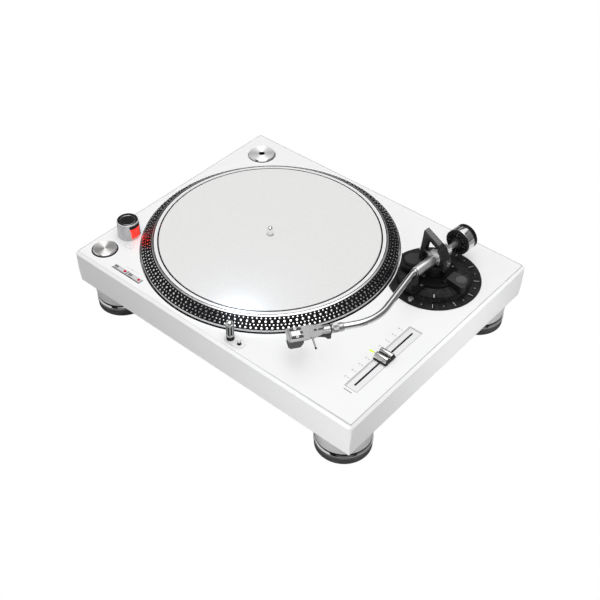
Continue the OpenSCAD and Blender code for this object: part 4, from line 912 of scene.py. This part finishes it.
bm = bmesh.new()
addPrism(bm, faderLook["core"] + mirrored(faderLook["core"]), -half, half, alongX)
softenEdges(bm, 0.25)
addPrism(bm, bar(0, 0, *faderLook["stem"]), heights("fader_knob")[0], 1.0)
addPiece("faderCore", bm, "fader_knob", "blackPlastic", knobPlace, "fader_knob")
bm = bmesh.new()
for ridge in (mirrored(faderLook["ridge"]), faderLook["ridge"]):
    addPrism(bm, ridge, 0.3 - half, half - 0.9, alongX)
softenEdges(bm, 0.3, 3)
addPiece("faderRidges", bm, "fader_knob", "knobSilver", knobPlace)
printed("faderIndex", [bar(-half + 4, 0, 7.6, line), bar(half - 4, 0, 7.6, line)], "fader_knob", "whitePrint",
        knobPlace @ shift(z=4.6))
ticks = []
tickNumbers = []
for k in range(1, 5):
    for y in (-k * faderLook["tickGap"], k * faderLook["tickGap"]):
        ticks.append(bar(faderLook["tickX"], y, 2.6, line))
        tickNumbers.append((str(2 * k), faderLook["numberX"], y, 3.2, 0.0))
ticks += [bar(-12.2, 0, 4.6, line), bar(-0.5, -65.6, 11.5, 0.8)]
printed("faderTicks", ticks, "chassis", "darkPrintAndShade", faderPlace)
numerals("faderNumbers", tickNumbers, "chassis", "darkPrintAndShade", faderPlace)
plateX, plateY = span("fader_plate", 0) / 2, span("fader_plate", 1) / 2
plateFace = faderPlace @ shift(z=heights("fader_plate")[1])
plateLines = [bar(-plateX + 0.4, 0, line, 2 * plateY - 0.6), bar(plateX - 0.4, 0, line, 2 * plateY - 0.6),
              bar(0, -plateY + 0.4, 2 * plateX - 1.6, line), bar(0, plateY - 0.4, 2 * plateX - 1.6, line)]
printed("faderPlateLine", plateLines, "chassis", "greyPrint", plateFace)
# Pale strips inside the plate's left and top edges: painted shade of the sunk plate's wall
plateShade = [bar(-plateX + 1.5, -0.4, 1.5, 2 * plateY - 2.2), bar(0.7, plateY - 1.5, 2 * plateX - 3.0, 1.5)]
printed("faderPlateShade", plateShade, "chassis", "palePrintAndShade", plateFace, 0.04)
# A white line along one side of the slot: painted highlight on the slot's edge
printed("faderSlotEdge", [bar(1.55, 0, line, 108.5)], "chassis", "whitePrint", plateFace)

# Fine lines printed on the deck by the speed keys and the tower; painted shade round the speed keys and along
# the deck's bevelled edges
keyMid = (middle("speed_button_33") + middle("speed_button_45")) / 2
printed("keyLines", [bar(0, 8.3, 24.0, 0.35), disc(0, 8.3, 0.8, 16)], "chassis", "palePrintAndShade",
        onDeck(keyMid))
# Dark frames round the speed keys, widest at the front: painted shade in the gaps round the keys
keyFrames = []
for number in ("33", "45"):
    x = (middle("speed_button_" + number).x - keyMid.x) / mm
    keyFrames += [bar(x, -3.75, 24.0, 1.1), bar(x - 11.7, 0.05, 0.7, 6.4), bar(x + 11.7, 0.05, 0.7, 6.4),
                  bar(x, 3.4, 24.0, 0.3)]
printed("keyFrames", keyFrames, "chassis", "darkPrintAndShade", onDeck(keyMid))
towerMarks = [bar(17.5, -20.6, 13.0, 0.35), bar(23.8, -16.8, 0.35, 8.0), bar(15.0, -15.6, 9.0, 0.35),
              bar(19.6, -12.8, 0.35, 5.6), disc(13.0, -18.1, 0.6, 16), disc(21.6, -18.4, 0.6, 16)]
printed("towerLines", towerMarks, "chassis", "greyPrint", onDeck("strobe_tower"))
# Grey strips just inside the deck's bevel on the sides and rear, and pale strips along the front that widen
# towards the right corner: painted shade of a seam at the bevel's edge, on a flat deck
bevelShadeLook = {"bevel": 3.5, "wide": 0.6, "frontFrom": 40.0, "frontRight": 2.0}
bevelShadeWide, turnX = bevelShadeLook["wide"], bevelShadeLook["frontFrom"]
bevelShadeX, bevelShadeY = [high / mm - bevelShadeLook["bevel"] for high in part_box("plinth_shell")[1].xy]
deckSeam = [bar(bevelShadeX, 0, bevelShadeWide, 2 * bevelShadeY), bar(-bevelShadeX, 0, bevelShadeWide, 2 * bevelShadeY),
            bar(0, bevelShadeY, 2 * bevelShadeX - 1, bevelShadeWide)]
printed("deckSeam", deckSeam, "chassis", "edgeShade", onDeck(Vector()), 0.03)
frontSeam = [bar((turnX - bevelShadeX) / 2, -bevelShadeY + 0.1, bevelShadeX + turnX - 1, 0.4),
             [(turnX, -bevelShadeY - 0.2), (bevelShadeX - 0.4, -bevelShadeY - 0.4),
              (bevelShadeX - 0.4, -bevelShadeY + bevelShadeLook["frontRight"]),
              (turnX, -bevelShadeY + 0.3)]]
printed("frontSeam", frontSeam, "chassis", "palePrintAndShade", onDeck(Vector()), 0.03)

# Upper part of the tower's window, and over it a black panel as painted shade, both bent to the tower's wall
shadeLook = {"lit": 2.2, "high": 1.9, "spread": 33.0, "proud": 0.12, "thick": 0.4, "parts": 16,
             "footRadius": 14.8,
             "headRadius": 14.0}
towerTall = heights("strobe_tower")[1]


def bentPanel(name, low, high, look):
    bm = bmesh.new()
    rings = []
    for part in range(shadeLook["parts"] + 1):
        turn = math.radians(shadeLook["spread"] * (2 * part / shadeLook["parts"] - 1))
        ring = []
        for height, inset in ((low, 0.0), (high, 0.0), (high, shadeLook["thick"]), (low, shadeLook["thick"])):
            taper = (shadeLook["headRadius"] - shadeLook["footRadius"]) * height / towerTall
            reach = shadeLook["footRadius"] + taper + shadeLook["proud"] - inset
            ring.append(bm.verts.new((reach * math.cos(turn) * mm, reach * math.sin(turn) * mm, height * mm)))
        rings.append(ring)
    skin(bm, rings)
    addPiece(name, bm, "chassis", look, onDeck("strobe_tower"))


windowEdge = heights("strobe_window")[1]
litEdge = windowEdge + shadeLook["lit"]
bentPanel("windowTop", windowEdge, litEdge, "redGlow")
# A black panel on the tower's wall above the lit window: painted shade
bentPanel("windowShade", litEdge + 0.05, towerTall - shadeLook["high"], "blackPaint")
print("fader and deck marks built")

# Scale round the tonearm base, the ring's index and the small screws
scaleLook = {"start": -86.5, "step": 30.0, "count": 7, "inner": 48.6, "outer": 55.2, "dots": 52.0,
             "wide": 0.55,
             "index": -55.3, "indexRadius": 40.6, "screw": 1.7,
             "screws": [(-8.5, -38.0), (5.5, -31.0), (-17.0, 17.0), (10.0, 22.5)]}
scaleLow, ringTop = [corner.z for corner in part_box("height_ring")]
radius = (scaleLook["inner"] + scaleLook["outer"]) / 2
scaleMarks = []
for k in range(scaleLook["count"]):
    turn = math.radians(scaleLook["start"] + scaleLook["step"] * k)
    scaleMarks.append(bar(radius * math.cos(turn), radius * math.sin(turn),
                          scaleLook["outer"] - scaleLook["inner"],
                          scaleLook["wide"], turn))
    turn = math.radians(scaleLook["start"] + scaleLook["step"] * (k + 0.5))
    scaleMarks.append(disc(scaleLook["dots"] * math.cos(turn), scaleLook["dots"] * math.sin(turn),
                           scaleLook["wide"]))
printed("scaleMarks", scaleMarks, "chassis", "palePrintAndShade",
        Matrix.Translation((pivot.x, pivot.y, scaleLow - 0.3 * mm)))
turn = math.radians(scaleLook["index"])
radius = scaleLook["indexRadius"]
printed("ringIndex", [bar(radius * math.cos(turn), radius * math.sin(turn), 6.0, 0.8, turn)], "height_ring",
        "whitePrint", Matrix.Translation((pivot.x, pivot.y, ringTop)))
bm = bmesh.new()
for x, y in scaleLook["screws"]:
    screwHead(bm, x, y, heights("arm_rest")[0], scaleLook["screw"], x)
addPiece("mountScrews", bm, "arm_base", "zincSteel blackPaint", armDeck)
print("tonearm base dressed")

# Tonearm yoke: a bright sloping cap, the wide leg with its boss, and the screw in it
yokeLook = {"slope": 25.0, "top": 33.5, "topX": -19.0, "endX": 4.5, "capWide": 7.4, "legFront": -6.6,
            "legRear": 5.4,
            "leg": [(17.9, -9.5), (17.9, 5.1), (9.2, 20.3), (4.0, 17.4), (11.2, 4.8), (11.2, -9.5)],
            "bossY": -0.6, "bossLow": 17.2, "bossTop": 19.0, "screwX": 19.3, "screw": 2.6}
slope = math.radians(yokeLook["slope"])
capLong = (yokeLook["endX"] - yokeLook["topX"]) / math.cos(slope)
bm = bmesh.new()
addPrism(bm, roundedBar(capLong / 2 + 0.4, 0, capLong - 1.4, yokeLook["capWide"], 0.8), -0.05, 0.14)
addPiece("yokeCap", bm, "yoke", "yokeFace",
         armPlace @ shift(yokeLook["topX"], 0, yokeLook["top"]) @ Matrix.Rotation(slope, 4, "Y"))
bm = bmesh.new()
addPrism(bm, yokeLook["leg"], yokeLook["legFront"], yokeLook["legRear"], alongY)
softenEdges(bm, 0.8, 3, 20)
addPrism(bm, roundedBar(yokeLook["bossY"], 0, 10.4, 12.0, 4.2), yokeLook["bossLow"], yokeLook["bossTop"],
         alongX,
         top=roundedBar(yokeLook["bossY"], 0, 9.4, 11.0, 4.0))
addPiece("yokeBoss", bm, "yoke", "yokeBlack", armPlace)
bm = bmesh.new()
screwHead(bm, 0, 0, yokeLook["screwX"], yokeLook["screw"], 0.5, alongX)
addPiece("pivotCap", bm, "yoke", "zincSteel blackPaint", armPlace)

# Arm: block and sleeve, S-bent chrome tube, collar, washer, weight and dial
armLook = {"sleeve": 6.0, "front": 5.2, "length": 42.0, "rear": 11.0, "rearLong": 23.0, "stub": 3.5,
           "stubEnd": 60.2,
           "tube": 4.25, "bendOut": 15.0, "bendOutRadius": 20.0, "run": 63.0, "headAngle": 30.5,
           "bendIn": 61.0,
           "tail": 28.6, "socket": 20.0}
sleeve, front, stub, stubEnd = [armLook[key] for key in ("sleeve", "front", "stub", "stubEnd")]
rear, rearLong, tube = armLook["rear"], armLook["rearLong"], armLook["tube"]
nose = -armLook["length"]
bm = bmesh.new()
addPrism(bm, roundedBar(0, 0, 18.0, 10.0, 1.2), -6.0, 6.0)
addPrism(bm, roundedBar(0, rearLong / 2 + 1.5, rear, rearLong - 3, 0.8), -rear / 2, rear / 2)
softenEdges(bm, 0.5)
addPiece("armBlock", bm, "arm", "sleeveGrey", armPlace, "arm_sleeve")
sleeveRows = [
    (tube + 0.05, nose + 1.0, 1), (front - 0.5, nose, 1), (front, nose + 0.6, 1), (front, nose + 3.6, 1),
    (front - 0.25, nose + 4.0), (sleeve - 0.4, nose + 4.2), (sleeve, nose + 4.8), (sleeve, -8.0),
    (sleeve, 0.0),
    (stub + 1, 1.0, 2), (stub + 1, rearLong + 1.1, 2), (stub + 0.6, rearLong + 1.5, 2),
    (stub, rearLong + 1.6, 2),
    (stub, stubEnd - 0.4, 2), (stub - 0.4, stubEnd, 2), (0, stubEnd, 2)]
turned("armSleeveTurned", [(0, nose + 1.0, 1)] + rounded(sleeveRows, 0.25), "arm",
       "sleeveGrey armChrome satinSilver",
       armAxle, steps=96)


def tubePath():
    out = math.radians(armLook["bendOut"])
    turnIn = math.radians(armLook["headAngle"])
    outRadius, inRadius = armLook["bendOutRadius"], armLook["bendIn"]
    spots = [(0, nose + armLook["socket"]), (0, nose + 8), (0, nose)]
    for k in range(1, 9):
        a = out * k / 8
        spots.append((outRadius * (1 - math.cos(a)), nose - outRadius * math.sin(a)))
    x, y = spots[-1]
    for k in range(1, 9):
        step = armLook["run"] * k / 8
        spots.append((x + step * math.sin(out), y - step * math.cos(out)))
    x, y = spots[-1]
    for k in range(1, 37):
        a = out - (out + turnIn) * k / 36
        spots.append((x + inRadius * (math.cos(a) - math.cos(out)),
                      y - inRadius * (math.sin(out) - math.sin(a))))
    x, y = spots[-1]
    for k in range(1, 5):
        step = (armLook["tail"] - 0.1) * k / 4
        spots.append((x - step * math.sin(turnIn), y - step * math.cos(turnIn)))
    return [(x, y, 0) for x, y in spots]


bm = bmesh.new()
addTube(bm, tubePath(), tube, 40)
addPiece("armTubeBent", bm, "arm", "armChrome", armPlace, "arm_tube", 40)

collarLook = {"radius": 5.4, "flutes": 28, "fluteDeep": 0.35, "bore": 4.3, "washer": 5.5, "washerBore": 3.4}
wide, bore, start = collarLook["radius"], collarLook["bore"], -armLook["tail"]
collarRows = [(bore, start + 0.05), (wide - 0.6, start + 0.05), (wide, start + 0.8), (wide, start + 1.6)]
for k in range(9):
    collarRows.append((wide, start + 2.2 + 5.6 * k / 8))
collarRows += [(wide, start + 8.4), (wide - 0.5, start + 8.8), (wide - 0.5, start + 9.6),
               (wide - 0.1, start + 10.0),
               (wide - 0.1, start + 12.0), (wide - 0.6, start + 14.7), (bore, start + 15.0)]
collarFlutes = {"low": start + 2.0, "high": start + 8.0, "inside": 5.0, "count": collarLook["flutes"],
                "depth": collarLook["fluteDeep"]}
turned("collarKnurled", collarRows, "locking_collar", "shellGrey", headAxle,
       "locking_collar", 168,
       flutes=collarFlutes, sharp=40)
wide, bore = collarLook["washer"], collarLook["washerBore"]
turned("neckWasher", [(bore, start - 1.5), (wide, start - 1.5), (wide, start - 0.35), (bore, start - 0.35)],
       "arm",
       "blackPlastic", headAxle, steps=64, soft=0.2)

weightLook = {"radius": 16.4, "dialLong": 4.5, "start": 38.0, "long": 17.5, "shine": 10.6, "hollow": 9.0,
              "core": 7.05, "ticks": 20, "tickRadius": 14.2, "numberRadius": 10.3, "ribs": 48, "ribDeep": 0.3}
wide, core, dialStart = weightLook["radius"], weightLook["core"], weightLook["start"]
dialEnd = dialStart + weightLook["dialLong"]
start = dialEnd + 0.3
end = start + weightLook["long"]
well = end - weightLook["hollow"]
shineEnd = start + weightLook["shine"]
weightRows = [
    (core, start, 1), (wide - 0.2, start), (wide, start + 0.3), (wide, shineEnd, 1),
    (wide - 0.35, shineEnd + 0.3, 1),
    (wide - 0.3, shineEnd + 0.8, 1), (wide - 0.1, end - 1.5, 1), (wide - 1.5, end, 1), (wide - 2.5, end, 1),
    (wide - 2.6, well, 1), (core + 1.5, well, 1), (core + 1.4, end, 1), (core, end, 1)]
turned("weightTurned", weightRows, "counterweight", "armChrome blackPaint", armAxle,
       "counterweight",
       144, 0.2)
dialRows = [(core, dialStart + 0.3), (core + 1.0, dialStart), (wide - 1.6, dialStart),
            (wide, dialStart + 1.1),
            (wide, dialEnd), (core, dialEnd)]
dialFlutes = {"low": dialStart + 1.2, "high": dialStart + 4.6, "inside": 16.0, "count": weightLook["ribs"],
              "depth": weightLook["ribDeep"]}
turned("forceDialRibbed", dialRows, "force_dial", "blackPlastic", armAxle, "force_dial", 192,
       0.2,
       dialFlutes)
dialMarks = []
dialNumbers = []
for k in range(weightLook["ticks"]):
    turn = 2 * math.pi * k / weightLook["ticks"]
    long = 2.2 if k % 5 == 0 else 1.2
    radius = weightLook["tickRadius"] - long / 2
    dialMarks.append(bar(radius * math.cos(turn), radius * math.sin(turn), long, 0.35, turn))
    if k % 5 == 0:
        radius = weightLook["numberRadius"]
        dialNumbers.append((str(k // 5), -radius * math.cos(turn), radius * math.sin(turn), 2.6,
                            math.pi / 2 - turn))
frontFace = armAxle @ shift(z=dialStart) @ Matrix.Rotation(math.pi, 4, "Y")
printed("dialTicks", dialMarks, "force_dial", "greyPrint", frontFace)
numerals("dialNumbers", dialNumbers, "force_dial", "greyPrint", frontFace)
printed("weightIndex", [bar(0, 0, 0.8, 8.6)], "counterweight", "whitePrint",
        armPlace @ shift(-3.0, start + 5.4, 16.1))
print("tonearm built")

# Headshell fittings: cartridge, stylus cover, pins, lead wires, finger rod, slots and fin
shellLook = {"end": -79.9, "low": -0.5, "thick": 3.2, "pitch": 12.7, "slotY": -68.9,
             "fin": [(-29.4, -0.2), (-29.4, -10.2), (-30.2, -11.0), (-33.6, -11.0), (-34.8, -9.4),
                     (-37.0, -7.2),
                     (-41.0, -6.0), (-46.5, -4.8), (-52.5, -3.2), (-57.0, -1.0), (-57.0, -0.2)]}
cartLook = {"front": -78.7, "long": 17.0, "wide": 14.8, "tall": 13.3, "tip": -17.4, "pinX": 3.4,
            "pinDrops": (4.4, 6.8), "pin": 0.55, "wire": 0.42, "wireLong": 11.5, "wireSag": 2.2}
under, slotY, slotX = shellLook["low"], shellLook["slotY"], shellLook["pitch"] / 2
shellTop = under + shellLook["thick"]
front, half = cartLook["front"], cartLook["wide"] / 2
rear = front + cartLook["long"]
low = under - cartLook["tall"]
bm = bmesh.new()
addPrism(bm, [(front, under), (front, under - 8.0), (front + 1.5, low), (rear - 4, low), (rear, under - 7.0),
              (rear, under)], -half, half, alongX)
softenEdges(bm, 0.6, 3)
for x in (-slotX, slotX):
    addPrism(bm, disc(x, slotY, 1.2, 16), under - 0.6, shellTop + 0.6, mark=1)
addPiece("cartridgeBody", bm, "arm", "padGrey zincSteel", headPlace, "cartridge")
bm = bmesh.new()
for s in (-1, 1):
    screwHead(bm, s * slotX, slotY, shellTop + 0.3, 1.9, 0.4 + s)
addPiece("cartridgeScrews", bm, "arm", "brightChrome blackPaint", headPlace)
coverSide = [(front - 0.9, low + 4.2), (front - 0.6, low + 0.4), (front + 1.2, low - 1.5),
             (front + 6.0, low - 2.2),
             (front + 11.0, low - 1.2), (front + 12.0, low + 0.1), (front + 1.2, low + 0.3),
             (front + 0.1, low + 4.2)]
bm = bmesh.new()
addPrism(bm, coverSide, -4.9, 4.9, alongX)
softenEdges(bm, 0.45, 3, 25)
addPrism(bm, disc(0, front + 4.0, 0.5, 12), under + cartLook["tip"], low - 1.0)
addPiece("stylusCover", bm, "arm", "padGrey", headPlace, "stylus")
pins = [(x, under - drop) for drop in cartLook["pinDrops"] for x in (-cartLook["pinX"], cartLook["pinX"])]
bm = bmesh.new()
for x, z in pins:
    addTube(bm, [(x, rear - 0.6, z), (x, rear + 3.6, z)], cartLook["pin"], 12)
addPiece("cartridgePins", bm, "arm", "brassPin", headPlace)
for k, wireTone in enumerate(("whitePrint", "redRing", "boardGreen", "greyPrint")):
    x, z = pins[k]
    spots = []
    for t in [i / 12 for i in range(13)]:
        sag = z - cartLook["wireSag"] * math.sin(math.pi * t) + (under - 3.2 - z) * t
        spots.append((x * (1 - 0.55 * t), rear + 3.0 + cartLook["wireLong"] * t, sag))
    bm = bmesh.new()
    addTube(bm, spots, cartLook["wire"], 10)
    addPiece("leadWire_" + str(k + 1), bm, "arm", wireTone, headPlace, sharp=60)
fingerLook = {"radius": 1.05, "collar": 0.35, "long": 15.2, "ball": 1.3, "drop": 6.0, "x": 10.05,
              "back": 27.0}
rod, ball, long = fingerLook["radius"], fingerLook["ball"], fingerLook["long"]
fingerRows = [(0, 0), (rod + fingerLook["collar"], 0), (rod + fingerLook["collar"], 0.9), (rod, 1.3),
              (rod - 0.08, long - 1.2, 1)]
for k in range(9):
    turn = math.radians(-50 + 130 * k / 8)
    fingerRows.append((ball * math.cos(turn), long + ball * math.sin(turn), 1))
fingerRows.append((0, long + ball, 1))
fingerPlace = headPlace @ shift(fingerLook["x"], shellLook["end"] + fingerLook["back"],
                                under + shellLook["thick"] / 2)
turned("fingerRod", fingerRows, "arm", "darkChrome blackPaint",
       fingerPlace @ Matrix.Rotation(math.radians(90 + fingerLook["drop"]), 4, "Y"), "finger_lift", 32,
       sharp=45)
shellFace = headPlace @ shift(z=shellTop)
# Dark marks round the headshell's slots and holes and a dark line near its front end: painted shade in them
shellMarks = [bar(0, shellLook["end"] + 2.6, 16.4, 0.6), roundedBar(0, -39.6, 2.8, 8.4, 1.3),
              disc(0, -46.9, 1.9),
              disc(0, -62.9, 1.9)]
shellMarks += [roundedBar(x, slotY, 4.6, 14.4, 2.2) for x in (-slotX, slotX)]
printed("shellGroove", shellMarks, "arm", "darkPrintAndShade", shellFace, 0.04)
# A raised bright chrome panel between the cartridge slots: painted highlight where the plate catches the
# light
printed("shellPanel", [roundedBar(0, slotY - 0.6, 7.2, 10.0, 0.5)], "arm", "brightChrome",
        shellFace,
        0.12)
# The fin takes a black finish and not the shell's grey: painted shade, as it hangs in shade under the neck
bm = bmesh.new()
addPrism(bm, shellLook["fin"], -3.4, 4.7, alongX)
softenEdges(bm, 0.5, 2, 50)
addPiece("shellFin", bm, "arm", "yokeBlack", headPlace)
print("headshell fitted")

# Rear sockets: a colour ring round each jack
jackLook = {"inner": 4.3, "outer": 5.6, "low": 1.3, "high": 2.3,
            "rings": {"whitePrint": -34.0, "redRing": -16.0}}
inner, outer, low, high = [jackLook[key] for key in ("inner", "outer", "low", "high")]
jackPlace = Matrix.Translation((middle("jack_panel").x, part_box("phono_jacks")[0].y, middle("jack_panel").z))
jackPlace = jackPlace @ Matrix.Rotation(-math.pi / 2, 4, "X")
for ringLook, x in jackLook["rings"].items():
    turned("jackRing_" + ringLook, [(inner, low), (outer, low), (outer, high), (inner, high)], "chassis",
           ringLook,
           jackPlace @ shift(x), steps=48, soft=0.15)
print("rear sockets dressed")

# Lamps: red light from the tower's window, a faint cool light by the target lamp
windowFace = middle("strobe_window")
windowFace.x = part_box("strobe_window")[1].x + 0.5 * mm
windowAim = Vector((platterMid.x, platterMid.y + 0.07, windowFace.z))
softPanel("windowLight", windowFace, windowAim, (0.013, 0.006), 0.034, (1.0, 0.03, 0.03), 100)
lampSpot = middle("target_lamp")
lampSpot.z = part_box("target_lamp")[1].z
lampAim = Vector((platterMid.x + 0.04, platterMid.y - 0.07, deckTop + matTop * mm))
softPanel("targetLight", lampSpot + Vector((-0.006, 0.012, 0.004)), lampAim, (0.006, 0.006), 0.02,
          (0.72, 0.84, 1.0))

# The arm hangs in soft light and leaves no shade on the deck
shadeless = "headshell cartridgeBody stylusCover armTubeBent collarKnurled fingerRod shellFin"
for name in shadeless.split():
    bpy.data.objects[name].visible_shadow = False
    bpy.data.objects[name].visible_diffuse = False

print("pieces ready")
